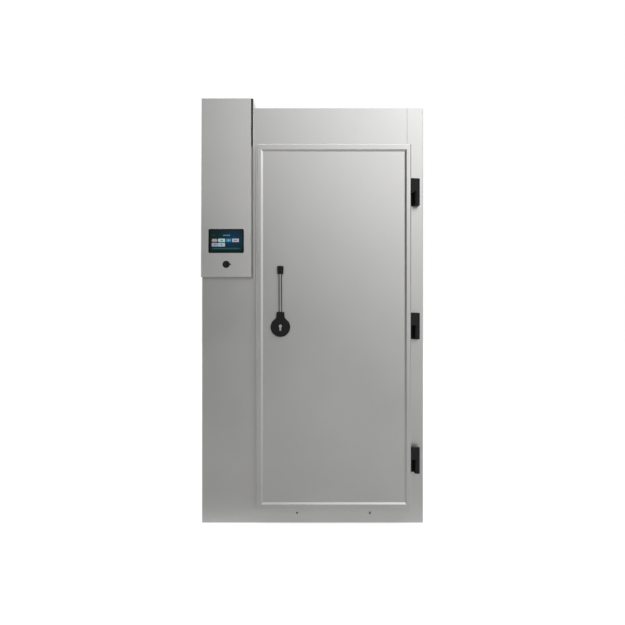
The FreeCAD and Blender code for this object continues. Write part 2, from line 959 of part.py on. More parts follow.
def lever_rosette():
    plate = prism(rosette_radius, fine_sides, lever_point(field_front), -Y_AXIS, rosette_thickness)
    start = lever_point(field_front + over)
    return plate.cut(prism(spindle_hole_radius, plain_sides, start, -Y_AXIS, 4 * over))


def lock_outline(y):
    """Outline of a profile cylinder: a round head over a narrower round-ended web."""
    centre = Vector(lever_x, y, lock_axis_height)
    head = prism(lock_radius, fine_sides, centre, Y_AXIS, lock_length)
    half = lock_web / 2
    web_end = lock_axis_height + lock_radius - lock_height + half
    web = block((lever_x - half, lever_x + half), (y, y + lock_length), (web_end, lock_axis_height))
    foot = prism(half, plain_sides, Vector(lever_x, y, web_end), Y_AXIS, lock_length)
    return head.fuse([web, foot]).removeSplitter()


def square_bar(y):
    half = spindle_side / 2
    x = (lever_x - half, lever_x + half)
    return block(x, y, (lever_height - half, lever_height + half))


def lever_hub():
    """Moulded hub: a rounded disc that runs up into a tapering neck with the rod's socket."""
    profile = softened(hub_radius, hub_thickness, hub_rounding)
    disc = turned(profile, fine_sides, lever_point(hub_back), -Y_AXIS)
    root_up = sqrt(hub_radius**2 - (neck_root_width / 2) ** 2) - hub_rounding
    root = neck_section(root_up, neck_root_width, hub_thickness)
    end = neck_section(neck_top, neck_top_width, neck_thickness)
    hub = disc.fuse(skinned([root, end])).removeSplitter()
    seat = square_bar((hub_back - spindle_seat, hub_back + over))
    return hub.cut(seat).cut(lock_outline(lock_front)).cut(lever_rod())


def neck_section(up, width, depth):
    """Level section of the neck, with its front corners cut back."""
    half = width / 2
    corner = depth * neck_corner_share
    outline = [
        (-half, 0),
        (half, 0),
        (half, depth - corner),
        (half - corner, depth),
        (corner - half, depth),
        (-half, depth - corner),
    ]
    return [lever_point(hub_back - out, up, across) for across, out in outline]


def rod_direction():
    tilt = radians(rod_tilt)
    return Vector(0, -sin(tilt), cos(tilt))


def rod_foot():
    """Lower end of the rod, in the neck's socket."""
    return lever_point(hub_back - neck_thickness / 2, neck_top - rod_seat)


def grip_foot():
    """Middle of the grip's lower face."""
    along = (lever_length - neck_top - grip_length + rod_seat) / cos(radians(rod_tilt))
    return rod_foot() + rod_direction() * along


def lever_rod():
    length = (grip_foot() - rod_foot()).Length + grip_bore_depth
    return cylinder(rod_radius, rod_foot(), rod_direction(), length)


def lever_grip():
    """End grip that widens upwards to a rounded shoulder, bored for the rod."""
    foot = [(grip_foot_radius - grip_collar, 0), (grip_foot_radius, grip_collar)]
    head = softened(grip_radius, grip_length, grip_dome)[1:]
    grip = turned(foot + head, fine_sides, grip_foot(), rod_direction())
    bore_radius = circumscribed(rod_radius, plain_sides)
    return grip.cut(prism(bore_radius, plain_sides, grip_foot(), rod_direction(), grip_bore_depth))


def lever_spindle():
    return square_bar((hub_back - spindle_seat, release_back - spindle_seat))


def catch_arm():
    """Arm on the inner end of the spindle, with the boss that holds it off the inner skin."""
    boss_length = arm_back - door_back - turning_gap
    boss_start = lever_point(door_back + turning_gap)
    boss = prism(arm_boss_radius, plain_sides, boss_start, Y_AXIS, boss_length)
    half = arm_width / 2
    outline = [
        (half, 0),
        (half, half - arm_reach),
        (half / 2, -arm_reach),
        (-half / 2, -arm_reach),
        (-half, half - arm_reach),
        (-half, 0),
    ]
    points = [lever_point(arm_front, up, across) for across, up in outline]
    bar = polygon_face(points).extrude(Vector(0, arm_thickness, 0))
    return boss.fuse(bar).removeSplitter().cut(lever_spindle())


def release_knob():
    """Star knob inside the room that turns the spindle."""
    profile = softened(release_radius, release_length, hub_rounding)
    knob = turned(profile, fine_sides, lever_point(arm_back), Y_AXIS)
    scallops = []
    distance = release_radius + release_scallop - release_bite
    for lobe in range(release_lobes):
        angle = 2 * pi * lobe / release_lobes
        centre = lever_point(arm_back - over, distance * cos(angle), distance * sin(angle))
        length = release_length + 2 * over
        scallops.append(prism(release_scallop, plain_sides, centre, Y_AXIS, length))
    return knob.cut(Part.makeCompound(scallops)).cut(lever_spindle())


def lock_cylinder():
    bore_start = Vector(lever_x, lock_front - over, lock_axis_height)
    radius = circumscribed(plug_radius + pin_clearance, plain_sides)
    bore = prism(radius, plain_sides, bore_start, Y_AXIS, lock_length)
    return lock_outline(lock_front).cut(bore)


def lock_plug():
    """Turning core of the lock with its upright key slot."""
    start = Vector(lever_x, lock_front - plug_proud, lock_axis_height)
    length = plug_proud + lock_length - over - turning_gap
    plug = cylinder(plug_radius, start, Y_AXIS, length)
    half = key_slot_width / 2
    x = (lever_x - half, lever_x + half)
    y = (start.y - over, start.y + key_slot_depth)
    low = lock_axis_height - key_slot_drop
    return plug.cut(block(x, y, (low, low + key_slot_height)))


# ------------------------------------------------------------------ control fascia
def fascia_depth(height):
    """How far the fascia stands out from the cabinet at a height."""
    share = (height - fascia_bottom) / fascia_height
    return fascia_bottom_depth + (fascia_top_depth - fascia_bottom_depth) * share


def fascia_form(inset):
    """Wedge drawn in by inset from every face but the back."""
    sections = []
    for height in (fascia_bottom + inset, fascia_top - inset):
        face_y = front - fascia_depth(height) + inset
        back_y = front + inset
        corner = fascia_chamfer + inset * (sqrt(2) - 1)
        side_x = fascia_right - inset
        face_x = fascia_right - corner
        points = [
            Vector(left + inset, back_y, height),
            Vector(left + inset, face_y, height),
            Vector(face_x, face_y, height),
            Vector(side_x, face_y + corner - inset, height),
            Vector(side_x, back_y, height),
        ]
        sections.append(points)
    return skinned(sections)


def on_fascia(shape, height):
    """Move a form drawn about the origin, outward along -Y, to its place on the sloping face."""
    place = Vector(control_x, front - fascia_depth(height), height)
    shape.Placement = FreeCAD.Placement(
        place, FreeCAD.Rotation(X_AXIS, -degrees(fascia_slope))
    ).multiply(shape.Placement)
    return shape


def display_case_size():
    return (display_width / 2 - display_case_margin, display_tall / 2 - display_case_margin)


def display_cutout():
    half_x, half_z = display_case_size()
    hole = block((-half_x, half_x), (-over, display_case_depth), (-half_z, half_z))
    return on_fascia(hole, display_height)


def control_fascia():
    """Sloping cover of folded sheet with the cut-outs for the display and the switch."""
    shell = fascia_form(0).cut(fascia_form(sheet))
    barrel = prism(switch_barrel_radius, plain_sides, Vector(0, -over, 0), Y_AXIS, 3 * over)
    return shell.cut(display_cutout()).cut(on_fascia(barrel, switch_height))


def display_glass():
    """Front glass with rounded corners and a bevelled front edge."""
    half_x = display_width / 2
    half_z = display_tall / 2
    plate = block((-half_x, half_x), (-display_glass_thickness, 0), (-half_z, half_z))
    corners = [(a, b) for a in (-half_x, half_x) for b in (-half_z, half_z)]
    plate = plate.makeFillet(display_corner, edges_along(plate, 1, corners))
    edge = edges_on_plane(plate, 1, -display_glass_thickness)
    return on_fascia(plate.makeChamfer(display_glass_bevel, edge), display_height)


def display_housing():
    half_x, half_z = display_case_size()
    case = block((-half_x, half_x), (0, display_case_depth), (-half_z, half_z))
    return on_fascia(case, display_height)


def switch_body():
    """Round flange and barrel, with the contact block behind."""
    profile = [
        (switch_radius, 0),
        (switch_radius, switch_flange - switch_bevel),
        (switch_radius - switch_bevel, switch_flange),
    ]
    flange = turned(profile, fine_sides, ORIGIN, -Y_AXIS)
    barrel = prism(switch_barrel_radius, plain_sides, ORIGIN, Y_AXIS, switch_barrel_length)
    half = switch_box_side / 2
    box_y = (switch_barrel_length - switch_box_depth, switch_barrel_length)
    box = block((-half, half), box_y, (-half, half))
    radius = circumscribed(knob_stem_radius + pin_clearance, plain_sides)
    well = prism(radius, plain_sides, Vector(0, -2 * over, 0), Y_AXIS, 4 * over)
    return on_fascia(flange.fuse([barrel, box]).removeSplitter().cut(well), switch_height)


def switch_knob():
    """Turning knob with a dished centre and a pointed nose."""
    base_y = -switch_flange - turning_gap
    seat = Vector(0, base_y, 0)
    rim = knob_radius - knob_dish_depth
    profile = [(knob_radius, 0), (knob_radius, knob_height - knob_dish_depth), (rim, knob_height)]
    disc = turned(profile, fine_sides, seat, -Y_AXIS)
    half = knob_nose_width / 2
    outline = [(0, half), (rim, half), (knob_nose, 0), (rim, -half), (0, -half)]
    nose = polygon_face([Vector(across, base_y, up) for across, up in outline])
    nose = nose.extrude(Vector(0, -knob_nose_height, 0))
    dish_start = Vector(0, base_y - knob_height + knob_dish_depth, 0)
    dish = prism(knob_dish_radius, fine_sides, dish_start, -Y_AXIS, knob_height)
    stem = cylinder(knob_stem_radius, seat, Y_AXIS, 2 * over)
    return on_fascia(disc.fuse([nose, stem]).cut(dish).removeSplitter(), switch_height)


def service_cover():
    """Raised cover over the wiring on the roof, open below and towards the fascia."""
    limits = [[left, fascia_right], [front - cover_height, cover_rear], [top, fascia_top]]
    cover = tray(limits, (2, 0), sheet)
    y = (front - cover_height - over, front)
    cover = cover.cut(block((left - over, fascia_right + over), y, (top - over, fascia_top + over)))
    start = Vector(control_x, cover_rear - over, top + cover_height / 2)
    hole = prism(circumscribed(gland_radius, plain_sides), plain_sides, start, Y_AXIS, 2 * over)
    return cover.cut(hole)


def cable_gland():
    """Gland in the cover's rear face where the supply cable enters."""
    height = top + cover_height / 2
    face = Vector(control_x, cover_rear, height)
    body_start = Vector(control_x, cover_rear - sheet - gland_tail, height)
    dome = [
        (gland_radius, 0),
        (gland_radius, gland_tail + gland_dome_length),
        (gland_radius - gland_taper, sheet + gland_tail + gland_nut_length + gland_dome_length),
    ]
    body = turned(dome, plain_sides, body_start, Y_AXIS)
    nut = prism(gland_nut, insert_sides, face, Y_AXIS, gland_nut_length)
    length = sheet + gland_tail + gland_nut_length + gland_dome_length
    bore = cylinder(gland_bore, body_start, Y_AXIS, length)
    return body.fuse(nut).removeSplitter().cut(bore)


def control_board():
    """Circuit board on four pillars, with a row of relays."""
    back_y = front - board_standoff
    board_x = (control_x - board_width / 2, control_x + board_width / 2)
    board_z = (board_height - board_tall / 2, board_height + board_tall / 2)
    front_y = back_y - board_thickness
    pieces = [block(board_x, (front_y, back_y), board_z)]
    side = board_pillar_side
    for x in (board_x[0] + side / 2, board_x[1] - side * 3 / 2):
        for z in (board_z[0] + side / 2, board_z[1] - side * 3 / 2):
            pieces.append(block((x, x + side), (back_y, front), (z, z + side)))
    relay_pitch = (board_width - side) / relay_count
    for place in range(relay_count):
        middle = board_x[0] + side / 2 + relay_pitch * (place + 1 / 2)
        relay_x = (middle - relay_width / 2, middle + relay_width / 2)
        relay_z = (board_height - relay_tall / 2, board_height + relay_tall / 2)
        pieces.append(block(relay_x, (front_y - relay_depth, front_y), relay_z))
    return pieces[0].fuse(pieces[1:]).removeSplitter()


def terminal_rail():
    """Top-hat rail on the roof under the cover, with a row of terminals."""
    middle_y = front + rail_distance
    x = (control_x - rail_length / 2, control_x + rail_length / 2)
    lip = rail_lip
    half = rail_width / 2
    rise = rail_height
    outline = [
        (-half, rise),
        (-half, rise - rail_wall),
        (-half + lip - rail_wall, rise - rail_wall),
        (-half + lip - rail_wall, 0),
        (half - lip + rail_wall, 0),
        (half - lip + rail_wall, rise - rail_wall),
        (half, rise - rail_wall),
        (half, rise),
        (half - lip, rise),
        (half - lip, rail_wall),
        (-half + lip, rail_wall),
        (-half + lip, rise),
    ]
    points = [Vector(x[0], middle_y + a, top + b) for a, b in outline]
    rail = polygon_face(points).extrude(Vector(x[1] - x[0], 0, 0))
    row_start = control_x - terminal_count * terminal_pitch / 2
    y = (middle_y - half + lip, middle_y + half - lip)
    comb_z = (top + rise, top + rise + terminal_base)
    wide_y = (middle_y - half, middle_y + half)
    row_x = (row_start, row_start + terminal_count * terminal_pitch - terminal_gap)
    terminals = [block(row_x, wide_y, comb_z)]
    for place in range(terminal_count):
        start = row_start + place * terminal_pitch
        span = (start, start + terminal_pitch - terminal_gap)
        terminals.append(block(span, y, (comb_z[1], top + rise + terminal_height)))
    return Part.makeCompound([rail, terminals[0].fuse(terminals[1:]).removeSplitter()])


# ------------------------------------------------------------------ evaporator
def evaporator_fins():
    """Fin pack: upright fins along a core, as one comb-shaped section."""
    count = int(coil_width / fin_pitch)
    pitch = coil_width / count
    web = ((coil_left + coil_right - fin_web) / 2, (coil_left + coil_right + fin_web) / 2)
    far_side = []
    near_side = []
    for fin in range(count):
        start = coil_front + fin * pitch
        end = start + fin_thickness
        far_side += [(coil_left, start), (coil_left, end), (web[0], end)]
        near_side += [(coil_right, start), (coil_right, end), (web[1], end)]
        if fin < count - 1:
            far_side.append((web[0], start + pitch))
            near_side.append((web[1], start + pitch))
    last = coil_rear
    far_side.append((web[0], last))
    near_side.append((web[1], last))
    outline = far_side + near_side[::-1]
    points = [Vector(x, y, coil_bottom) for x, y in outline]
    return polygon_face(points).extrude(Vector(0, 0, coil_height))


def evaporator_end_plates():
    """Plates at both ends of the fins, with feet folded against the liner's wall."""
    plates = []
    z = (coil_bottom - end_plate_margin, coil_top + end_plate_margin)
    for face_y, side in ((coil_front, -1), (coil_rear, 1)):
        y = sorted((face_y, face_y + side * end_plate))
        plate = block((inner_left, coil_right), y, z)
        foot_y = sorted((face_y, face_y + side * end_plate_foot))
        foot = block((inner_left, inner_left + end_plate), foot_y, z)
        plates.append(plate.fuse(foot).removeSplitter())
    return Part.makeCompound(plates)


def return_bends():
    """Hairpin ends of the refrigerant tubes that show at the front of the coil."""
    bends = []
    face_y = coil_front - end_plate
    rise = coil_height / tube_rows
    x = (coil_left + coil_right) / 2
    for row in range(tube_rows):
        low = coil_bottom + rise * (row + 0.5) - tube_spacing / 2
        out_y = face_y - tube_stub - tube_spacing / 2
        points = [
            Vector(x, face_y, low),
            Vector(x, out_y, low),
            Vector(x, out_y, low + tube_spacing),
            Vector(x, face_y, low + tube_spacing),
        ]
        bends.append(bent_bar(points, tube_spacing / 2, tube_radius, bend_sides))
    return Part.makeCompound(bends)


def refrigerant_pipe(x, radius, entry):
    """Pipe from the coil's rear end up through the roof, widened at its end for brazing."""
    socket_low = pipe_top - socket_depth
    points = [
        Vector(x, coil_rear + end_plate, entry),
        Vector(x, pipe_y, entry),
        Vector(x, pipe_y, socket_low + pipe_wall),
    ]
    bar = bent_bar(points, pipe_bend, radius, plain_sides)
    bell_radius = circumscribed(radius + socket_clearance + pipe_wall, plain_sides)
    bell_start = Vector(x, pipe_y, socket_low)
    bell = prism(bell_radius, plain_sides, bell_start, Z_AXIS, socket_depth)
    inside = bent_bar(points, pipe_bend, radius - pipe_wall, plain_sides)
    bore = cylinder(radius + socket_clearance, points[2], Z_AXIS, socket_depth)
    return bar.fuse(bell).removeSplitter().cut(inside).cut(bore)


def drip_tray():
    """Folded tray under the coil, with its drain hole in the rear end."""
    x = (inner_left, coil_right + tray_margin)
    y = (coil_front - tray_margin, coil_rear + tray_margin)
    limits = [list(x), list(y), [tray_bottom, tray_top]]
    start = Vector(drain_x, y[1] - over, drain_height + sheet)
    hole = prism(drain_radius - drain_wall, plain_sides, start, Y_AXIS, 2 * over)
    return tray(limits, (2, 1), sheet).cut(hole)


def drain_pipe():
    """Straight pipe from the drip tray through the rear wall."""
    start = Vector(drain_x, coil_rear + tray_margin, drain_height)
    length = rear + drain_reach - start.y
    pipe = prism(circumscribed(drain_radius, plain_sides), plain_sides, start, Y_AXIS, length)
    return pipe.cut(cylinder(drain_radius - drain_wall, start, Y_AXIS, length))


# ------------------------------------------------------------------ fan deflector
def guard_slots(height):
    """Stamped finger guard: rings of curved slots round one fan's axis."""
    slots = []
    ring_pitch = (guard_radius - guard_hub_radius) / guard_rings
    for ring in range(guard_rings):
        inner = guard_hub_radius + ring * ring_pitch
        outer = inner + ring_pitch - guard_rib
        for spoke in range(guard_spokes):
            start = 2 * pi * (spoke + ring % 2 / 2) / guard_spokes
            end = start + 2 * pi / guard_spokes
            chords = outer_chords if 2 * ring >= guard_rings else inner_chords
            slots.append(ring_slot(height, (inner, outer), (start, end), chords))
    return slots


def ring_slot(height, radii, span, chords):
    """One slot between two radii and two spokes, cut through the deflector's sheet."""
    steps = list(range(chords + 1))
    points = []
    for radius, order in zip(radii, (steps, steps[::-1])):
        half_spoke = guard_spoke / 2 / radius
        sweep = span[1] - span[0] - 2 * half_spoke
        for step in order:
            angle = span[0] + half_spoke + sweep * step / chords
            y = fan_y + radius * cos(angle)
            points.append(Vector(deflector_face - over, y, height + radius * sin(angle)))
    return polygon_face(points).extrude(Vector(2 * over, 0, 0))


def fan_deflector():
    """Hinged inner wall with one stamped guard for each fan."""
    limits = [
        [deflector_back, deflector_face],
        [deflector_front, deflector_rear],
        [deflector_bottom, deflector_top],
    ]
    cuts = []
    for height in fan_heights:
        cuts += guard_slots(height)
    for height in thumb_heights():
        start = Vector(deflector_face - over, thumb_y(), height)
        around = circumscribed(thumb_shank_radius, plain_sides)
        cuts.append(prism(around, plain_sides, start, X_AXIS, 2 * over))
    pin = Vector(pivot_x, pivot_y, deflector_bottom - over)
    cuts.append(cylinder(pivot_radius + pin_clearance, pin, Z_AXIS, deflector_height + 2 * over))
    return tray(limits, (0, 0), deflector_sheet).cut(Part.makeCompound(cuts))


def deflector_pivots():
    """Brackets on the rear wall whose pins carry the deflector."""
    pivots = []
    x = (pivot_x - pivot_plate_width / 2, pivot_x + pivot_plate_width / 2)
    y = (pivot_y - pivot_plate_width / 2, inner_rear)
    for end, side in ((deflector_bottom, -1), (deflector_top, 1)):
        near = end + side * pivot_gap
        plate = block(x, y, sorted((near, near + side * pivot_plate)))
        foot_z = sorted((near, near + side * pivot_plate_width))
        foot = block(x, (inner_rear - pivot_plate, inner_rear), foot_z)
        start = Vector(pivot_x, pivot_y, near + side * pivot_plate)
        length = pivot_plate + pivot_length
        pin = prism(pivot_radius, plain_sides, start, Z_AXIS * -side, length)
        pivots.append(plate.fuse([foot, pin]).removeSplitter())
    return Part.makeCompound(pivots)


def thumb_heights():
    return [deflector_middle + side * thumb_spacing / 2 for side in (-1, 1)]


def thumb_y():
    return deflector_front + stop_overlap / 2


def deflector_stops():
    """Angles on the front wall that the deflector closes against, with notches for its screws."""
    stops = []
    back_x = deflector_back - pivot_gap
    notch = thumb_shank_radius + hole_clearance
    for height in thumb_heights():
        z = (height - stop_height / 2, height + stop_height / 2)
        y = (inner_front, deflector_front + stop_overlap)
        leaf = block((back_x - stop_sheet, back_x), y, z)
        foot_x = (back_x - stop_height / 2, back_x)
        foot = block(foot_x, (inner_front, inner_front + stop_sheet), z)
        notch_y = (thumb_y() - notch, y[1] + over)
        hole = block((back_x - over, back_x + over), notch_y, (height - notch, height + notch))
        stops.append(leaf.fuse(foot).removeSplitter().cut(hole))
    return Part.makeCompound(stops)


def deflector_screws():
    """Captive thumb screws at the deflector's free edge."""
    screws = []
    shank_length = deflector_flange + pivot_gap + stop_sheet
    for height in thumb_heights():
        seat = Vector(deflector_face, thumb_y(), height)
        profile = [
            (thumb_radius, 0),
            (thumb_radius, thumb_height - thumb_bevel),
            (thumb_radius - thumb_bevel, thumb_height),
        ]
        head = turned(profile, plain_sides, seat, X_AXIS)
        shank = prism(thumb_shank_radius, plain_sides, seat, -X_AXIS, shank_length)
        screws.append(head.fuse(shank).removeSplitter())
    return Part.makeCompound(screws)


def fan_stator(height):
    """Four-armed bracket on the back of the guard, with the fixed half of the motor."""
    face_x = deflector_face - deflector_sheet
    arm_x = (face_x - spider_thickness, face_x)
    half = spider_width / 2
    pieces = []
    for arm in range(spider_arms):
        bar = block(arm_x, (fan_y, fan_y + spider_reach), (height - half, height + half))
        bar.rotate(Vector(face_x, fan_y, height), X_AXIS, 360 * (arm + 1 / 2) / spider_arms)
        pieces.append(bar)
    start = Vector(face_x, fan_y, height)
    core = prism(stator_radius, plain_sides, start, -X_AXIS, spider_thickness + stator_length)
    radius = circumscribed(fan_shaft_radius + pin_clearance, plain_sides)
    bore = prism(radius, plain_sides, start, -X_AXIS, spider_thickness + stator_length)
    return core.fuse(pieces).removeSplitter().cut(bore)


def fan_motors():
    return Part.makeCompound([fan_stator(height) for height in fan_heights])


def rotor_front():
    """Where the rotor's open end starts, behind the fixed half."""
    return deflector_face - deflector_sheet - spider_thickness - stator_length - rotor_gap


def blade_section(radius, chord, pitch):
    """Cambered section of a blade at one radius, as a ring of points."""
    turn = radians(pitch)
    stations = [2 * step / blade_steps - 1 for step in range(blade_steps + 1)]
    lower = [(chord / 2 * share, blade_camber * (1 - share**2)) for share in stations]
    upper = [(along, lift + blade_thickness) for along, lift in reversed(lower)]
    ring = []
    for along, lift in lower + upper:
        across = along * cos(turn) - lift * sin(turn)
        rise = along * sin(turn) + lift * cos(turn)
        ring.append(Vector(radius, across, rotor_length / 2 + rise))
    return ring


def fan_blade():
    """Blade that is narrow and steep at its root, wide and flatter at its tip."""
    rings = []
    for step in range(blade_spans + 1):
        share = step / blade_spans
        radius = blade_root_radius + (blade_tip_radius - blade_root_radius) * share
        chord = blade_root_chord + (blade_tip_chord - blade_root_chord) * share
        pitch = blade_root_pitch + (blade_tip_pitch - blade_root_pitch) * share
        rings.append(blade_section(radius, chord, pitch))
    return skinned(rings, flat=False)


def fan_impeller(height):
    """Rotor cup with its shaft and twisted blades, turned so that its axis lies along X."""
    blades = []
    for place in range(blade_count):
        blade = fan_blade()
        blade.rotate(ORIGIN, Z_AXIS, 360 * place / blade_count)
        blades.append(blade)
    profile = softened(rotor_radius, rotor_length, rotor_rounding)
    cup = turned(profile, rotor_sides, ORIGIN, Z_AXIS)
    shaft_length = rotor_gap + fan_shaft_length
    shaft = cylinder(fan_shaft_radius, Vector(0, 0, -shaft_length), Z_AXIS, shaft_length)
    impeller = cup.fuse(blades + [shaft]).removeSplitter()
    place = Vector(rotor_front(), fan_y, height)
    impeller.Placement = FreeCAD.Placement(place, FreeCAD.Rotation(Z_AXIS, -X_AXIS))
    return impeller


# ------------------------------------------------------------------ all the pieces
def all_pieces():
    pieces = {
        "base_panel": base_panel(),
        "left_panel": side_panel(left, left + sheet),
        "right_panel": side_panel(right, right - sheet),
        "rear_panel": rear_panel(),
        "roof_panel": roof_panel(),
        "front_panel": front_panel(),
        "header_panel": header_panel(),
        "ramp_inserts": ramp_inserts(),
        "floor_foam": floor_foam(),
        "roof_foam": roof_foam(),
        "side_foam": side_foam(),
        "rear_foam": rear_foam(),
        "front_foam": Part.makeCompound([column_foam(), pillar_foam(), header_foam()]),
        "inner_liner": inner_liner(),
        "floor_plate": floor_plate(),
        "opening_frame": opening_frame(),
        "trolley_guides": trolley_guides(),
        "keeper": keeper(),
        "door_outer_skin": door_outer_skin(),
        "door_edge_trim": door_edge_trim(),
        "door_foam": door_foam(),
        "door_inner_skin": door_inner_skin(),
        "door_gasket": door_gasket(),
        "hinge_frame_halves": hinge_frame_halves(),
        "hinge_door_halves": hinge_door_halves(),
        "hinge_pins": hinge_pins(),
        "lever_rosette": lever_rosette(),
        "lever_hub": lever_hub(),
        "lever_rod": lever_rod(),
        "lever_grip": lever_grip(),
        "lever_spindle": lever_spindle(),
        "catch_arm": catch_arm(),
        "release_knob": release_knob(),
        "lock_cylinder": lock_cylinder(),
        "lock_plug": lock_plug(),
        "control_fascia": control_fascia(),
        "service_cover": service_cover(),
        "display_glass": display_glass(),
        "display_housing": display_housing(),
        "switch_body": switch_body(),
        "switch_knob": switch_knob(),
        "control_board": control_board(),
        "terminal_rail": terminal_rail(),
        "cable_gland": cable_gland(),
        "evaporator_fins": evaporator_fins(),
        "evaporator_end_plates": evaporator_end_plates(),
        "return_bends": return_bends(),
        "suction_pipe": refrigerant_pipe(suction_x, suction_radius, coil_bottom + suction_entry),
        "liquid_pipe": refrigerant_pipe(liquid_x, liquid_radius, coil_top - liquid_entry),
        "drip_tray": drip_tray(),
        "drain_pipe": drain_pipe(),
        "fan_deflector": fan_deflector(),
        "deflector_pivots": deflector_pivots(),
        "deflector_stops": deflector_stops(),
        "deflector_screws": deflector_screws(),
        "fan_motors": fan_motors(),
    }
    return pieces


def main():
    os.makedirs("parts", exist_ok=True)
    pieces = all_pieces()
    for name, height in zip(fan_names, fan_heights):
        pieces[f"fan_impeller_{name}"] = fan_impeller(height)
    for node, shape in pieces.items():
        shape.exportStep(f"parts/{node}.step")
        state = "valid" if shape.isValid() else "NOT VALID"
        print(f"{node}: {len(shape.Solids)} solids, {shape.Volume / 1000:.1f} cm3, {state}")


main()
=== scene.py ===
# %% Open the measured part
import bpy
import json
from math import atan2, cos, pi, radians, sin, tan
from mathutils import Matrix, Vector


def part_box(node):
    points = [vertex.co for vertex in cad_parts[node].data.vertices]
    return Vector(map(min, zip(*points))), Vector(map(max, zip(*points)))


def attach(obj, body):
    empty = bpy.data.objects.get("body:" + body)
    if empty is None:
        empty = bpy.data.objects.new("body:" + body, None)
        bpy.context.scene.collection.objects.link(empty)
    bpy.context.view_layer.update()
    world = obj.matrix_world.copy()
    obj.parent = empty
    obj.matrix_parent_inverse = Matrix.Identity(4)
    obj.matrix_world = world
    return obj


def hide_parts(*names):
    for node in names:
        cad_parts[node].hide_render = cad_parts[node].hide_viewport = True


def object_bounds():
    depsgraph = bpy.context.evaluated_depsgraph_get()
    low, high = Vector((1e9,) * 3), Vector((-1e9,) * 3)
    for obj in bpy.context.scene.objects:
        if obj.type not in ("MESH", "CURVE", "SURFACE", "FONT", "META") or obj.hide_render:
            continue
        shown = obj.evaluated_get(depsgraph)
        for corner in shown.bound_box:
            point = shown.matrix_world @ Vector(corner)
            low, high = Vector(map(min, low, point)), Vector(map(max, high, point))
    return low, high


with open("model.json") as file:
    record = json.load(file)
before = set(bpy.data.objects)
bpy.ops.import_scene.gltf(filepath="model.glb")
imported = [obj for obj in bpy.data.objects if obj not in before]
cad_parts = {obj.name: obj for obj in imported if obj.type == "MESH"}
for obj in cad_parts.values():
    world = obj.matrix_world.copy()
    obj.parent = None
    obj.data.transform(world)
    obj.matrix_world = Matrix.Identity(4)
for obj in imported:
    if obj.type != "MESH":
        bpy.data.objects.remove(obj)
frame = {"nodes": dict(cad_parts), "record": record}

nodes = frame["nodes"]
cad_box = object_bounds()
slot_of = {part["node"]: part["material_slot"] for part in frame["record"]["subparts"]}
print(len(nodes), "nodes,", len(set(slot_of.values())), "finishes")

# %% [markdown]
# The object is a roll-in blast chiller: a tall steel room for one trolley. A wide door closes it,
# a column on the left carries the controls, and a lever latch and three block hinges hold the door.
# The measured model gives every size and place, in metres. Blender adds the looks: sheet folds with
# true radii, turned and moulded pieces with smooth rounds, finishes, light and a camera.

# %% Units
mm = 0.001


def middle(node):
    """Centre of a measured piece."""
    low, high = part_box(node)
    return (low + high) / 2


print("overall size:", [round(side, 3) for side in cad_box[1] - cad_box[0]])

# %% [markdown]
# ## Pieces from mesh code
# A piece could be started from a ready-made cube or cylinder, but folded sheet and turned metal are
# easier to steer as lists of rings. One helper turns points and faces into an object, gives it its
# finish, and lets it ride on the body that carries it. Corners sharper than a set angle stay crisp
# and all others shade smoothly. Weighted normals keep large flat faces flat beside their rounds.

# %% Helper that makes a piece
finish_of = {}


def piece(name, points, faces, slot, body, replaces=(), crisp=35.0):
    """Object from points and faces, with its finish and its body."""
    mesh = bpy.data.meshes.new(name)
    mesh.from_pydata([tuple(point) for point in points], [], faces)
    mesh.validate()
    mesh.shade_smooth()
    mesh.set_sharp_from_angle(angle=radians(crisp))
    made = bpy.data.objects.new(name, mesh)
    bpy.context.scene.collection.objects.link(made)
    even = made.modifiers.new("even_normals", "WEIGHTED_NORMAL")
    even.keep_sharp = True
    even.weight = 100
    finish_of[name] = slot
    if replaces:
        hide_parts(*replaces)
    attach(made, body)
    return made


def joined(parts):
    """Several (points, faces) meshes as one."""
    points, faces = [], []
    for more_points, more_faces in parts:
        start = len(points)
        points += more_points
        faces += [[index + start for index in face] for face in more_faces]
    return points, faces


def moved(part, matrix):
    """A (points, faces) mesh taken to another place."""
    points, faces = part
    return [matrix @ Vector(point) for point in points], faces


def rings_to_mesh(rings, closed=True, caps=(True, True)):
    """Skin over rings that have the same number of points each."""
    count = len(rings[0])
    points = [point for ring in rings for point in ring]
    faces = []
    for low in range(len(rings) - 1):
        for here in range(count if closed else count - 1):
            after = (here + 1) % count
            a = low * count
            faces.append([a + here, a + after, a + count + after, a + count + here])
    if caps[0]:
        faces.append(list(range(count))[::-1])
    if caps[1]:
        faces.append([len(points) - count + index for index in range(count)])
    return points, faces


def rounded(points, radius, steps=4):
    """A run of 2-D points whose inner corners are replaced by arcs."""
    run = [Vector(points[0])]
    for before, corner, after in zip(points, points[1:], points[2:]):
        corner = Vector(corner)
        back, on = (Vector(before) - corner), (Vector(after) - corner)
        turn = (pi - back.angle(on)) / 2
        cut = min(radius * tan(turn), 0.49 * back.length, 0.49 * on.length)
        size = cut / tan(turn)
        centre = corner + (back.normalized() + on.normalized()).normalized() * (size / cos(turn))
        first, last = corner + back.normalized() * cut, corner + on.normalized() * cut
        for step in range(steps + 1):
            spoke = (first - centre).lerp(last - centre, step / steps)
            run.append(centre + spoke.normalized() * size)
    run.append(Vector(points[-1]))
    return run


def turned(profile, start, axis, steps=64):
    """Mesh of (radius, height) pairs turned about an axis."""
    turn = Vector((0, 0, 1)).rotation_difference(Vector(axis)).to_matrix().to_4x4()
    place = Matrix.Translation(start) @ turn
    rings = []
    for radius, height in profile:
        angles = [2 * pi * step / steps for step in range(steps)]
        rings.append([place @ Vector((radius * cos(a), radius * sin(a), height)) for a in angles])
    return rings_to_mesh(rings)


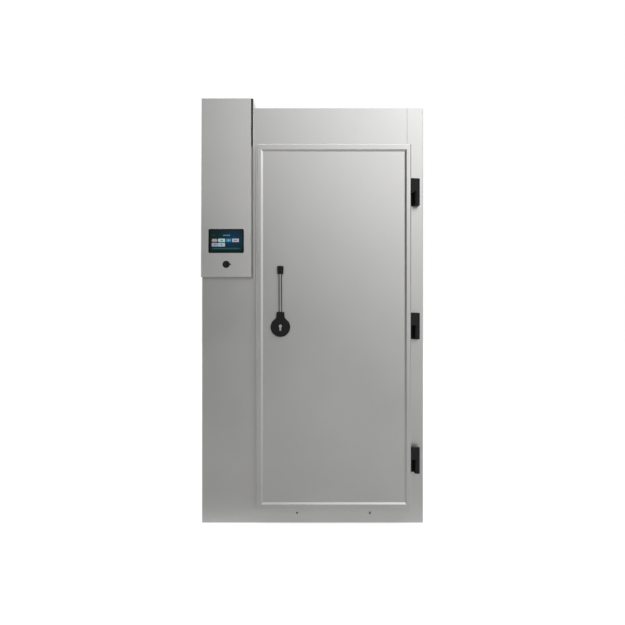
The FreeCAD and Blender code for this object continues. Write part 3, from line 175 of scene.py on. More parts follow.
def swept(route, radius, steps=20):
    """Round bar along a route of points, with parallel rings."""
    route = [Vector(point) for point in route]
    heading = (route[1] - route[0]).normalized()
    side = heading.orthogonal().normalized()
    rings = []
    for index, point in enumerate(route):
        back = route[max(index - 1, 0)]
        on = route[min(index + 1, len(route) - 1)]
        fresh = (on - back).normalized()
        side = (heading.rotation_difference(fresh) @ side).normalized()
        heading = fresh
        other = heading.cross(side)
        spokes = [2 * pi * step / steps for step in range(steps)]
        rings.append([point + (side * cos(a) + other * sin(a)) * radius for a in spokes])
    return rings_to_mesh(rings)


def box_mesh(low, high):
    """Closed box between two corners."""
    x, y, z = zip(low, high)
    foot = [(x[0], y[0]), (x[1], y[0]), (x[1], y[1]), (x[0], y[1])]
    return rings_to_mesh([[Vector((a, b, height)) for a, b in foot] for height in z])


print("helpers ready: piece, joined, turned, swept")

# %% [markdown]
# ## The door's outer pan
# The door is a pan of bright steel sheet. A flat border runs round it, then the sheet dips over a
# narrow bevel into a field that lies a few millimetres deeper, which keeps the large face stiff and
# flat. A cube with an inset face would do, but its edges would be razor sharp. Here one profile is
# drawn across the border and carried round the door as rectangles, so every fold has its radius
# and the corners are mitred like folded sheet. The long edges roll over more than the ends do.

# %% Door pan
door_side_border = 24 * mm
door_end_border = 29.5 * mm
door_bevel_width = 11 * mm
door_field_depth = 4 * mm
door_edge_radius = 7 * mm
door_end_radius = 4.5 * mm
press_radius = 1.6 * mm

pan_low, pan_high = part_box("door_outer_skin")
across = [
    (0.0, pan_high.y),
    (0.0, pan_low.y),
    (1.0, pan_low.y),
    (1.0 + door_bevel_width / door_side_border, pan_low.y + door_field_depth),
    (2.5, pan_low.y + door_field_depth),
]


def pan_ring(inset, depth):
    """Rectangle round the door; one unit of inset is the width of its border."""
    beyond = max(inset - 1.0, 0.0) * door_side_border
    x = min(inset, 1.0) * door_side_border + beyond
    fold_share = door_edge_radius / door_side_border
    in_fold = min(inset / fold_share, 1.0)
    past_fold = max(min(inset, 1.0) - fold_share, 0.0) / (1.0 - fold_share)
    z = door_end_radius * in_fold + (door_end_border - door_end_radius) * past_fold + beyond
    corners = [
        (pan_low.x + x, pan_low.z + z),
        (pan_high.x - x, pan_low.z + z),
        (pan_high.x - x, pan_high.z - z),
        (pan_low.x + x, pan_high.z - z),
    ]
    return [Vector((a, depth, b)) for a, b in corners]


def soft_across(points, radii):
    """The pan's profile with a radius of its own at each fold, in metres across and deep."""
    scaled = [(inset * door_side_border, depth) for inset, depth in points]
    run = [Vector(scaled[0])]
    for index, radius in enumerate(radii, start=1):
        run += rounded(scaled[index - 1 : index + 2], radius, steps=9)[1:-1]
    run.append(Vector(scaled[-1]))
    return [(point.x / door_side_border, point.y) for point in run]


profile = soft_across(across, [door_edge_radius, press_radius, press_radius])
pan = rings_to_mesh([pan_ring(inset, depth) for inset, depth in profile], caps=(False, True))
door_pan = piece("door_pan", *pan, "door_steel", "door", ["door_outer_skin"], crisp=14)
print("door pan:", [round(side, 3) for side in pan_high - pan_low])

# %% [markdown]
# ## The header sheet
# Above the door a separate sheet closes the front, and a fine seam shows on either side of it. A
# seam between two razor-sharp edges almost vanishes in a picture. The real sheet's edges roll over a
# little where it was cut and folded, so both ends of this plate fall away in a small curve that
# catches the light differently from the flat.

# %% Header sheet
header_low, header_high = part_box("header_panel")
roll_width, roll_depth = 3.2 * mm, header_high.y - header_low.y - 0.05 * mm
edge = []
for step in range(7):
    angle = step / 6 * pi / 2
    edge.append((roll_width * (1 - sin(angle)), roll_depth * (1 - cos(angle))))
plan = [(header_low.x, header_high.y)]
plan += [(header_low.x + x, header_low.y + y) for x, y in reversed(edge)]
plan += [(header_high.x - x, header_low.y + y) for x, y in edge]
plan += [(header_high.x, header_high.y)]
sheet = [[Vector((x, y, level)) for x, y in plan] for level in (header_low.z, header_high.z)]
piece("header_sheet", *rings_to_mesh(sheet), "cabinet_steel", "cabinet", ["header_panel"])
print("header rolls over", roll_width, "at its ends")

# %% [markdown]
# ## The control fascia
# The fascia is a folded steel cover on the left column. Seen from above it is a box with its right
# front corner cut off at 45 degrees, and it leans back a little towards the top. Two outlines, one
# for the bottom and one for the top, are skinned into the sheet. A loft modifier doesn't exist in
# Blender, and none is needed, because both outlines have the same number of points.

# %% Fascia cover
fascia_low, fascia_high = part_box("control_fascia")
fascia_top_depth = 21 * mm
fascia_chamfer = 12 * mm
fold = 1.5 * mm
fascia_bottom_depth = fascia_high.y - fascia_low.y
fascia_height = fascia_high.z - fascia_low.z
fascia_lean = atan2(fascia_bottom_depth - fascia_top_depth, fascia_height)


def fascia_outline(height):
    """The cover's plan at a height, open where it meets the cabinet."""
    share = (height - fascia_low.z) / fascia_height
    depth = fascia_bottom_depth + (fascia_top_depth - fascia_bottom_depth) * share
    face = fascia_high.y - depth
    plan = [
        (fascia_low.x, fascia_high.y),
        (fascia_low.x, face),
        (fascia_high.x - fascia_chamfer, face),
        (fascia_high.x, face + fascia_chamfer),
        (fascia_high.x, fascia_high.y),
    ]
    return [Vector((point.x, point.y, height)) for point in rounded(plan, fold)]


def drawn_in(outline, distance):
    """An outline pulled towards the cover's middle, for the small round at its ends."""
    centre = Vector((middle("control_fascia").x, fascia_high.y, outline[0].z))
    shrunk = []
    for point in outline:
        x = point.x + (distance if point.x < centre.x else -distance)
        shrunk.append(Vector((x, min(point.y + distance, fascia_high.y), point.z)))
    return shrunk


rim = [drawn_in(fascia_outline(fascia_low.z), fold)]
for share in (0.3, 0.7, 1.0):
    lift = fold * (1 - cos(share * pi / 2))
    rim.append(drawn_in(fascia_outline(fascia_low.z + lift), fold * (1 - sin(share * pi / 2))))
head = []
for share in (1.0, 0.7, 0.3):
    lift = fold * (1 - cos(share * pi / 2))
    head.append(drawn_in(fascia_outline(fascia_high.z - lift), fold * (1 - sin(share * pi / 2))))
head.append(drawn_in(fascia_outline(fascia_high.z), fold))
shell = rings_to_mesh(rim + head, closed=False)
fascia_shell = piece("fascia_shell", *shell, "cabinet_steel", "cabinet", ["control_fascia"])
print("fascia leans back", round(fascia_lean * 180 / pi, 2), "degrees")

# %% [markdown]
# ## The cover behind the fascia
# A shallow sheet lid runs back over the roof from the fascia and hides the terminals. Like most
# drawn lids it has rounded rear corners and a soft top edge. A rounded outline is lifted and drawn
# in step by step, so the roof of the lid closes in one smooth turn.

# %% Service lid
lid_low, lid_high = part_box("service_cover")
lid_corner = 6 * mm


def lid_outline(inset, height):
    """Plan of the lid, drawn in by a distance, at a height."""
    x, y = (lid_low.x + inset, lid_high.x - inset), (lid_low.y, lid_high.y - inset)
    plan = [(x[0], y[0]), (x[0], y[1]), (x[1], y[1]), (x[1], y[0])]
    return [Vector((p.x, p.y, height)) for p in rounded(plan, lid_corner)]


lid_rings = [lid_outline(0, lid_low.z)]
for step in range(5):
    angle = step / 4 * pi / 2
    inset = fold * (1 - cos(angle))
    lid_rings.append(lid_outline(inset, lid_high.z - fold * (1 - sin(angle))))
lid = rings_to_mesh(lid_rings, caps=(False, True))
service_lid = piece("service_lid", *lid, "cabinet_steel", "cabinet", ["service_cover"])
print("lid:", [round(side, 3) for side in lid_high - lid_low])

# %% [markdown]
# ## The screen
# The controller is a colour touch panel: a thick pane of black glass with rounded corners, bonded to
# the leaning fascia. Under the glass lies a lit picture with two rows of tiles. The picture could be
# an image, but a few thin rounded plates that glow a little keep it sharp at any distance, and they
# carry no writing. All of them are placed on the fascia's own plane.

# %% Plane of the fascia
control_x = middle("display_glass").x


def on_fascia(height, x=control_x):
    """Matrix whose axes are right, up along the leaning fascia, and out of it."""
    share = (height - fascia_low.z) / fascia_height
    depth = fascia_bottom_depth + (fascia_top_depth - fascia_bottom_depth) * share
    up = Vector((0, sin(fascia_lean), cos(fascia_lean)))
    out = Vector((0, -cos(fascia_lean), sin(fascia_lean)))
    axes = Matrix((Vector((1, 0, 0)), up, out)).transposed().to_4x4()
    return Matrix.Translation((x, fascia_high.y - depth, height)) @ axes


def plate(width, height, radius, low, high, edge=0.0, steps=6):
    """Rounded rectangular plate between two heights, with a small round on its front edge."""

    def ring(inset, level):
        outline = []
        for corner in range(4):
            sx, sy = ((1, 1), (-1, 1), (-1, -1), (1, -1))[corner]
            centre = Vector((sx * (width / 2 - radius), sy * (height / 2 - radius)))
            for step in range(steps + 1):
                angle = (corner + step / steps) * pi / 2
                reach = max(radius - inset, 0.0)
                outline.append(
                    Vector((centre.x + reach * cos(angle), centre.y + reach * sin(angle), level))
                )
        return outline

    rings = [ring(0, low), ring(0, high - edge)]
    for step in range(1, 4 if edge else 1):
        angle = step / 3 * pi / 2
        rings.append(ring(edge * (1 - cos(angle)), high - edge + edge * sin(angle)))
    return rings_to_mesh(rings)


print("controls sit on the line x =", round(control_x, 4))

# %% [markdown]
# The pane itself is one thick plate with rounded corners and a small round on its front edge. A
# bevelled cube would give the same shape, but a plate made from rings keeps the corner radius and
# the edge round apart, as on ground glass.

# %% Glass of the screen
display_low, display_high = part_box("display_glass")
display_width = display_high.x - display_low.x
display_tall = 129 * mm
display_height = 1526 * mm
display_corner = 7 * mm
glass_thickness = 4 * mm
glass_edge = 0.8 * mm

display_place = on_fascia(display_height)
glass = plate(display_width, display_tall, display_corner, 0.0, glass_thickness, glass_edge)
screen_glass = piece(
    "screen_glass", *moved(glass, display_place), "display_glass", "cabinet", ["display_glass"]
)
print("pane:", round(display_width, 3), "by", display_tall)

# %% [markdown]
# The lit picture is a dark plate just above the glass, thinner than paper, with a soft blue glow on
# the right, a pale band along its foot and tiles in grey, mint, blue and lilac. One tile is an oval.

# %% Lit picture and its tiles
picture_width = 174 * mm
picture_tall = 117 * mm
film = 0.08 * mm
picture_centre = (0.2 * mm, 1.0 * mm)
picture_place = display_place @ Matrix.Translation((*picture_centre, glass_thickness))
picture = plate(picture_width, picture_tall, 2 * mm, 0.0, film)
piece("screen_picture", *moved(picture, picture_place), "display_glass", "cabinet")
finish_of["screen_picture"] = "screen_picture"

tiles = [
    ("oval", -62.0, 2.0, 31.0, 16.0, 8.0),
    ("mint", -24.5, 2.0, 37.0, 18.0, 2.0),
    ("blue", 13.0, 2.0, 27.0, 18.0, 2.0),
    ("lilac", 50.0, 2.0, 37.0, 18.0, 2.0),
    ("lavender", -61.0, -21.5, 33.0, 20.0, 2.0),
    ("sky", -24.5, -21.5, 37.0, 20.0, 2.0),
    ("title", 2.0, 29.0, 38.0, 5.0, 1.0),
    ("mark", -66.0, 29.5, 13.0, 3.5, 1.0),
    ("mint_mark", -24.5, 2.0, 13.0, 8.0, 4.0),
    ("blue_mark", 13.0, 2.0, 10.0, 10.0, 5.0),
    ("lilac_mark", 50.0, 2.0, 16.0, 4.0, 1.0),
    ("lavender_mark", -61.0, -21.5, 14.0, 4.0, 1.0),
    ("sky_mark", -24.5, -21.5, 9.0, 9.0, 4.5),
]
for name, x, y, width, tall, corner in tiles:
    level = film * (3 if name.endswith("_mark") else 2)
    shape = plate(width * mm, tall * mm, corner * mm * 0.99, film, level)
    place = picture_place @ Matrix.Translation((x * mm, y * mm, 0))
    piece("screen_" + name, *moved(shape, place), "display_glass", "cabinet")
    finish_of["screen_" + name] = "tile_" + name
print(len(tiles), "tiles and marks on the picture")

# %% [markdown]
# ## The rotary switch
# Below the screen sits a small rotary switch of black plastic: a thin round flange clamped to the
# sheet, and a dial with a dished face whose pointed nose shows the position. The round parts are
# turned from a profile, as a potter would, and the nose is a plate of its own below the dial.

# %% Switch flange and knob
switch_height = 1400 * mm
switch_place = on_fascia(switch_height)
out_of_fascia = switch_place.to_3x3() @ Vector((0, 0, 1))


def soft_profile(radius, length, rounding, dish=0.0, steps=6, foot=0.0):
    """(radius, height) pairs of a disc with a round front edge and a shallow dish in its face."""
    run = [(radius - foot, 0.0)] + ([(radius, foot)] if foot else [])
    for step in range(steps + 1):
        angle = step / steps * pi / 2
        run.append(
            (radius - rounding + rounding * cos(angle), length - rounding + rounding * sin(angle))
        )
    if dish:
        rim = radius - rounding - 1.2 * mm
        for step in range(steps + 1):
            share = step / steps
            depth = dish * (1 - cos(share * pi)) / 2
            run.append((rim * (1 - 0.35 * share), length - depth))
    return [(max(r, 0.05 * mm), h) for r, h in run] + [(0.05 * mm, run[-1][1])]


flange_radius, flange_thick = 19.5 * mm, 3 * mm
flange = turned(
    soft_profile(flange_radius, flange_thick, 1.2 * mm), switch_place.translation, out_of_fascia
)
barrel = turned(
    [(11 * mm, 0.0), (11 * mm, 30 * mm)], switch_place @ Vector((0, 0, -30 * mm)), out_of_fascia
)
back_box = moved(plate(30 * mm, 30 * mm, 2 * mm, -26 * mm, -12 * mm), switch_place)
piece("switch_flange", *joined([flange, barrel, back_box]), "switch_plastic", "cabinet", ["switch_body"])

knob_radius, knob_height = 15 * mm, 7 * mm
nose_reach, nose_half, nose_height = 28 * mm, 7.5 * mm, 4 * mm
dial = turned(
    soft_profile(knob_radius, knob_height, 1.4 * mm, dish=1.2 * mm),
    switch_place @ Vector((0, 0, flange_thick + 0.3 * mm)),
    out_of_fascia,
)


def nose_ring(inset, level):
    """Outline of the pointed nose at a level: two straight flanks that meet in a small round."""
    tip, root = nose_reach - 1.5 * mm, 6 * mm
    flank = atan2(nose_half, tip - root)
    outline = [Vector((root, -nose_half + inset, level))]
    for step in range(9):
        angle = -(pi / 2 - flank) + (pi - 2 * flank) * step / 8
        reach = 1.5 * mm - inset
        outline.append(Vector((tip + reach * cos(angle), reach * sin(angle), level)))
    return outline + [Vector((root, nose_half - inset, level))]


nose_base = flange_thick + 0.3 * mm
nose_levels = [(0.0, nose_base), (0.0, nose_base + nose_height - 0.8 * mm)]
nose_levels += [(0.25 * mm, nose_base + nose_height - 0.25 * mm), (0.8 * mm, nose_base + nose_height)]
nose = rings_to_mesh([nose_ring(inset, level) for inset, level in nose_levels])
dial_and_nose = joined([dial, moved(nose, switch_place)])
piece("switch_dial", *dial_and_nose, "switch_plastic", "switch", ["switch_knob"])
print("switch nose reaches", nose_reach, "from its axis")

# %% [markdown]
# ## The lever latch
# The latch is a moulded black hub on a round rosette, a chrome rod, and a black grip. The hub is a
# disc that runs up into a neck, which holds the rod. Its outline is drawn once with soft inner
# corners where the neck leaves the disc, and is then stepped in over the front edge to give the
# moulded round. The front also rises a little towards the neck.

# %% Lever rosette and hub
lever_x, lever_z = -171 * mm, 1063 * mm
hub_radius, hub_rounding = 52 * mm, 6 * mm
hub_low, hub_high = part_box("lever_hub")
hub_back = hub_high.y
hub_front = hub_back - 26 * mm
neck_top, neck_top_half, neck_root_half = 81 * mm, 20.5 * mm, 23 * mm
neck_swell = 4 * mm
toward_viewer = Vector((0, -1, 0))

rosette_low, rosette_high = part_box("lever_rosette")
rosette = turned(
    soft_profile((rosette_high.x - rosette_low.x) / 2, rosette_high.y - rosette_low.y, 2 * mm),
    Vector((lever_x, rosette_high.y, lever_z)),
    toward_viewer,
)
piece("rosette", *rosette, "lever_plastic", "door", ["lever_rosette"])


def hub_outline():
    """Disc and neck as one line of points in the latch's own plane."""
    root = (hub_radius**2 - neck_root_half**2) ** 0.5
    start = atan2(root, neck_root_half)
    disc = []
    for step in range(61):
        angle = pi - start + (pi + 2 * start) * step / 60
        disc.append((hub_radius * cos(angle), hub_radius * sin(angle)))
    neck = [disc[-1], (neck_top_half, neck_top), (-neck_top_half, neck_top), disc[0]]
    top_line = rounded(neck, 5.5 * mm, steps=6)
    near = [Vector(point) for point in disc[1:-1]]
    flank_right = [top_line[0].lerp(top_line[1], share / 6) for share in range(6)]
    flank_left = [top_line[-2].lerp(top_line[-1], share / 6) for share in range(1, 7)]
    return near + flank_right + top_line[1:-1] + flank_left


def smoothed(outline, rounds, sharp_from):
    """An outline whose inner corners are relaxed near a height."""
    for _ in range(rounds):
        fresh = []
        for index, point in enumerate(outline):
            before, after = outline[index - 1], outline[(index + 1) % len(outline)]
            weight = 0.5 if sharp_from[0] < point.y < sharp_from[1] else 0.0
            fresh.append(point.lerp((before + after) / 2, weight))
        outline = fresh
    return outline


def drawn_line(outline, distance):
    """The outline moved inwards along its own normals."""
    fresh = []
    for index, point in enumerate(outline):
        along = (outline[(index + 1) % len(outline)] - outline[index - 1]).normalized()
        fresh.append(point + Vector((-along.y, along.x)) * distance)
    return fresh


hub_line = smoothed(hub_outline(), 4, (40 * mm, 52 * mm))


def hub_ring(distance, depth):
    """The hub's outline, drawn in, at a depth, rising towards the neck."""
    ring = []
    for point in drawn_line(hub_line, distance):
        share = min(max((point.y - 30 * mm) / (neck_top - 30 * mm), 0.0), 1.0)
        share = share * share * (3 - 2 * share)
        swell = neck_swell * share * (hub_back - depth) / (hub_back - hub_front)
        ring.append(Vector((lever_x + point.x, depth - swell, lever_z + point.y)))
    return ring


hub_rings = [hub_ring(1.0 * mm, hub_back), hub_ring(0.0, hub_back - 1.0 * mm)]
for step in range(9):
    angle = step / 8 * pi / 2
    hub_rings.append(
        hub_ring(hub_rounding * (1 - cos(angle)) * 0.85, hub_front + hub_rounding * (1 - sin(angle)))
    )
hub = rings_to_mesh(hub_rings)
piece("latch_hub", *hub, "lever_plastic", "lever", ["lever_hub"], crisp=50)
print("hub radius", hub_radius, "and neck to", lever_z + neck_top)

# %% [markdown]
# The rod leans four degrees away from the door so that fingers fit behind it. A rod is simply a
# profile turned about its own leaning axis, and so is the grip, which widens upwards to a nearly
# flat top with soft shoulders. A socket lip closes the joint between the neck and the rod.

# %% Rod and grip
rod_tilt = radians(4.0)
rod_axis = Vector((0, -sin(rod_tilt), cos(rod_tilt)))
rod_foot = Vector((lever_x, hub_back - 15 * mm, lever_z + 55 * mm))
rod_radius, rod_length = 9.5 * mm, 249.5 * mm
rod = turned([(rod_radius, 0.0), (rod_radius, rod_length)], rod_foot, rod_axis, steps=72)
piece("chrome_rod", *rod, "lever_chrome", "lever", ["lever_rod"])

grip_low, grip_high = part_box("lever_grip")
grip_foot = rod_foot + rod_axis * ((1345.2 * mm - rod_foot.z) / cos(rod_tilt))
grip_profile = [(rod_radius + 0.4 * mm, 0.6 * mm), (13.6 * mm, 0.0), (15.1 * mm, 0.7 * mm)]
grip_profile += [(15.5 * mm, 2.2 * mm), (15.7 * mm, 4.0 * mm), (17.5 * mm, 37.5 * mm)]
for step in range(1, 10):
    angle = step / 9 * pi / 2
    grip_profile.append((11.0 * mm + 6.5 * mm * cos(angle), 37.5 * mm + 6.0 * mm * sin(angle)))
grip_profile += [(6 * mm, 44.4 * mm), (0.05 * mm, 44.8 * mm)]
grip = turned(grip_profile, grip_foot, rod_axis)
piece("knob_grip", *grip, "lever_plastic", "lever", ["lever_grip"])

lip_centre = rod_foot + rod_axis * 25.0 * mm
lip_profile = [(rod_radius + 0.2 * mm, 0.0), (13.5 * mm, 0.0), (13.1 * mm, 2.0 * mm)]
lip_profile += [(12.0 * mm, 3.0 * mm), (rod_radius + 0.2 * mm, 3.2 * mm)]
piece("neck_lip", *turned(lip_profile, lip_centre, rod_axis), "lever_plastic", "lever")
print("grip top at", round((grip_foot + rod_axis * 44.8 * mm).z, 4))

# %% [markdown]
# ## The lock in the hub
# A profile cylinder sits in the hub: a round head with a narrow web hanging from it, as in a house
# door. The plug in the head turns with the key. Its slot is real: the ring round the plug is led
# inwards to a rounded slot and then down into it, so light falls into the keyway.

# %% Lock cylinder and plug
lock_low, lock_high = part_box("lock_cylinder")
lock_front, lock_back = lock_low.y, lock_high.y
lock_radius, web_half, web_drop = 8.5 * mm, 5 * mm, 24.5 * mm
lock_z = lever_z + 5 * mm


def lock_ring(inset, depth):
    """Outline of the round head and its web."""
    join = atan2(-((lock_radius**2 - web_half**2) ** 0.5), web_half)
    outline = []
    for step in range(33):
        angle = join + (pi - 2 * join) * step / 32
        outline.append(((lock_radius - inset) * cos(angle), (lock_radius - inset) * sin(angle)))
    foot = -web_drop + web_half
    for step in range(13):
        angle = pi + pi * step / 12
        outline.append(((web_half - inset) * cos(angle), foot + (web_half - inset) * sin(angle)))
    return [Vector((lever_x + x, depth, lock_z + z)) for x, z in outline]


case_rings = [lock_ring(0, lock_back), lock_ring(0, lock_front + 0.5 * mm)]
case_rings += [lock_ring(0.15 * mm, lock_front + 0.15 * mm), lock_ring(0.5 * mm, lock_front)]
piece("lock_case", *rings_to_mesh(case_rings), "lock_nickel", "lever", ["lock_cylinder"])

slot_half_width, slot_half_height, slot_depth = 1.2 * mm, 4.25 * mm, 5 * mm
plug_radius, plug_proud = 6.5 * mm, 0.6 * mm


def plug_ring(share, radius, depth):
    """From a circle (share 0) to the rounded slot (share 1)."""
    outline = []
    for step in range(64):
        angle = 2 * pi * step / 64
        circle = Vector((radius * cos(angle), radius * sin(angle)))
        reach = slot_half_height - slot_half_width
        along = max(min(circle.y / radius * slot_half_height, reach), -reach)
        beyond = Vector((cos(angle), sin(angle) if abs(along) == reach else 0.0)).normalized()
        slot = Vector((0, along)) + beyond * slot_half_width
        point = circle.lerp(slot, share)
        outline.append(Vector((lever_x + point.x, depth, lock_z + point.y)))
    return outline


plug_front = lock_front - plug_proud
plug_rings = [
    plug_ring(0, plug_radius, lock_front + 1 * mm),
    plug_ring(0, plug_radius, plug_front + 0.3 * mm),
    plug_ring(0, plug_radius - 0.3 * mm, plug_front),
    plug_ring(1, plug_radius, plug_front),
    plug_ring(1, plug_radius, plug_front + slot_depth),
]
plug = rings_to_mesh(plug_rings, caps=(False, True))
piece("lock_core", *plug, "lock_nickel", "lock", ["lock_plug"], crisp=30)
print("keyway", 2 * slot_half_width, "by", 2 * slot_half_height)

# %% [markdown]
# ## The hinges
# Each hinge is a pair of black moulded blocks. The lower one stands on the pillar and the upper one
# is screwed to the door's edge; both end in the barrel round the pin, and a plate of the lower one
# lies on the pillar beside the door. The plan of each half is a
# block with a rounded nose, lifted in rings that draw in at the ends. The meeting faces are left
# crisp, and the top falls a little to the right.

# %% Hinge halves
hinge_x, hinge_y = 562 * mm, -611 * mm
hinge_middles = [349 * mm, 1069 * mm, 1789 * mm]
barrel = 14 * mm
door_right = 528 * mm
cabinet_front = -550 * mm


def barrel_plan(back, inset, steps=16):
    """Plan of a block that ends in a half barrel towards the viewer."""
    r = barrel - inset
    plan = [Vector((hinge_x - r, back))]
    for step in range(steps + 1):
        angle = pi + pi * step / steps
        plan.append(Vector((hinge_x + r * cos(angle), hinge_y + r * sin(angle))))
    return plan + [Vector((hinge_x + r, back))]


def arm_plan(inset, steps=12):
    """Plan of the door half: an arm from the door's edge that ends in the barrel."""
    r = barrel - inset
    plan = []
    for step in range(2 * steps + 1):
        angle = pi / 2 - pi * step / (2 * steps)
        plan.append(Vector((hinge_x + r * cos(angle), hinge_y + r * sin(angle))))
    left = door_right + min(inset, 0.0)
    return [Vector((left, hinge_y + r))] + plan + [Vector((left, hinge_y - r))]


def hinge_ring(plan, height, slope=0.0):
    """A plan at a height, lower to the right by the slope."""
    return [Vector((p.x, p.y, height - slope * max(p.x - door_right, 0.0))) for p in plan]


def hinge_half(plan_of, low, high, low_round, high_round, slope=0.0):
    """Rings of one half with a round at either end."""
    rings = []
    for step in range(4):
        angle = step / 3 * pi / 2
        rings.append(
            hinge_ring(plan_of(low_round * (1 - sin(angle))), low + low_round * (1 - cos(angle)))
        )
    for step in range(4):
        angle = (1 - step / 3) * pi / 2
        level = high - high_round * (1 - cos(angle))
        rings.append(hinge_ring(plan_of(high_round * (1 - sin(angle))), level, slope))
    return rings_to_mesh(rings)


leaf_back, leaf_wall = -567 * mm, 5 * mm
frame_parts, door_parts = [], []
for centre in hinge_middles:
    frame_parts.append(
        hinge_half(
            lambda inset: barrel_plan(cabinet_front, inset),
            centre - 72 * mm,
            centre + 2.85 * mm,
            1.5 * mm,
            0.4 * mm,
        )
    )
    plate_low = (door_right + 3 * mm, cabinet_front - 5 * mm, centre - 72 * mm)
    plate_high = (hinge_x - 0.5 * barrel, cabinet_front, centre + 2.85 * mm)
    frame_parts.append(box_mesh(plate_low, plate_high))
    door_parts.append(
        hinge_half(arm_plan, centre + 3.15 * mm, centre + 72 * mm, 0.4 * mm, 1.5 * mm, 0.04)
    )
    leaf_low = (door_right, hinge_y - 0.8 * barrel, centre + 3.15 * mm)
    leaf_high = (door_right + leaf_wall, leaf_back, centre + 69 * mm)
    door_parts.append(box_mesh(leaf_low, leaf_high))
for name, parts, slot, body, node in (
    ("hinge_lower_halves", frame_parts, "hinge_plastic", "cabinet", "hinge_frame_halves"),
    ("hinge_upper_halves", door_parts, "hinge_plastic", "door", "hinge_door_halves"),
):
    piece(name, *joined(parts), slot, body, [node], crisp=40)
print(len(hinge_middles), "hinges")

# %% [markdown]
# ## The fans
# Three fans stand behind the hinged inner wall. Each has a cup that turns round its motor and five
# twisted blades, narrow and steep at the root, wide and flatter at the tip. One blade is a skin over
# curved sections, and the others are the same blade turned. The sections are finer here than in the
# measured model, and the tips are rounded off.

# %% Fan impellers
rotor_radius, rotor_length = 44 * mm, 58 * mm
blade_root, blade_tip = 40 * mm, 146 * mm
root_chord, tip_chord = 46 * mm, 88 * mm
root_pitch, tip_pitch = 42.0, 22.0
blade_camber, blade_thickness = 7 * mm, 2.2 * mm
along_axis = Matrix.Rotation(-pi / 2, 4, "Y")


def blade_section(share, steps=14):
    """Closed cambered section of the blade between root (0) and tip (1)."""
    radius = blade_root + (blade_tip - blade_root) * share
    rounding = max(share - 0.82, 0.0) / 0.18
    chord = (root_chord + (tip_chord - root_chord) * share) * (1 - 0.45 * rounding**2.2)
    turn = radians(root_pitch + (tip_pitch - root_pitch) * share)
    ring = []
    for side in (0, 1):
        for step in range(steps + 1):
            along = 2 * step / steps - 1 if side == 0 else 1 - 2 * step / steps
            full = (1 - along**2) ** 0.5
            lift = blade_camber * (1 - along**2) + (side - 0.5) * blade_thickness * (0.35 + 0.65 * full)
            across = chord / 2 * along * cos(turn) - lift * sin(turn)
            rise = chord / 2 * along * sin(turn) + lift * cos(turn)
            ring.append(Vector((radius, across, rotor_length / 2 + rise)))
    return ring


blade = rings_to_mesh([blade_section(step / 12) for step in range(13)])
blades = [moved(blade, Matrix.Rotation(2 * pi * turn / 5, 4, "Z")) for turn in range(5)]
cup_profile = soft_profile(rotor_radius, rotor_length, 8 * mm)
for groove in range(3):
    start = (14 + 12 * groove) * mm
    for corner, (height, depth) in enumerate(((0, 0), (1.0, 0.8), (3.0, 0.8), (4.0, 0))):
        spot = (rotor_radius - depth * mm, start + height * mm)
        cup_profile.insert(1 + 4 * groove + corner, spot)
cup = turned(cup_profile, Vector((0, 0, 0)), Vector((0, 0, 1)), steps=72)
shaft = turned([(5 * mm, -18 * mm), (5 * mm, 0.0)], Vector((0, 0, 0)), Vector((0, 0, 1)), steps=24)
fan_heights = {"bottom": 517 * mm, "middle": 1137 * mm, "top": 1757 * mm}
for place in fan_heights:
    low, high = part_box("fan_impeller_" + place)
    hub_point = Vector((low.x + rotor_length, 0, fan_heights[place]))
    parts = [moved(part, Matrix.Translation(hub_point) @ along_axis) for part in [cup, shaft] + blades]
    piece("fan_wheel_" + place, *joined(parts), "blade_plastic", "fan_" + place, ["fan_impeller_" + place])
print("three fan wheels with", len(blades), "blades each")

# %% [markdown]
# ## The inner wall with its finger guards
# The inner wall is one folded sheet with a ring of curved slots in front of each fan. Cutting slots
# into a mesh leaves untidy faces. A flat filled curve is simpler: the wall's outline is one spline
# and each slot another, and the inner ones become holes. Its extrusion gives the sheet thickness,
# and the result is read back as a mesh, because a curve reports no true size of its own.

# %% Inner wall
wall_low, wall_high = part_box("fan_deflector")
wall_sheet = 1.5 * mm
wall_curve = bpy.data.curves.new("inner_wall", "CURVE")
wall_curve.dimensions = "2D"
wall_curve.fill_mode = "BOTH"
wall_curve.extrude = wall_sheet / 2


def add_outline(points):
    """One closed spline in the wall's own plane: first across (Y), then up (Z)."""
    spline = wall_curve.splines.new("POLY")
    spline.points.add(len(points) - 1)
    for spot, (a, b) in zip(spline.points, points):
        spot.co = (a, b, 0.0, 1.0)
    spline.use_cyclic_u = True


def curved_slot(height, inner, outer, begin, end, steps=16):
    """Slot between two radii with half-round ends."""
    mean, half = (inner + outer) / 2, (outer - inner) / 2
    points = []
    for radius, order in ((inner, range(steps + 1)), (outer, range(steps, -1, -1))):
        for step in order:
            angle = begin + (end - begin) * step / steps
            points.append((radius * cos(angle), height + radius * sin(angle)))
        edge = end if radius == inner else begin
        heading = 1 if radius == inner else -1
        centre = (mean * cos(edge), height + mean * sin(edge))
        for step in range(1, 6):
            swing = pi * step / 6
            out, round_it = -half * cos(swing) * heading, half * sin(swing) * heading
            x = centre[0] + out * cos(edge) - round_it * sin(edge)
            z = centre[1] + out * sin(edge) + round_it * cos(edge)
            points.append((x, z))
    return points


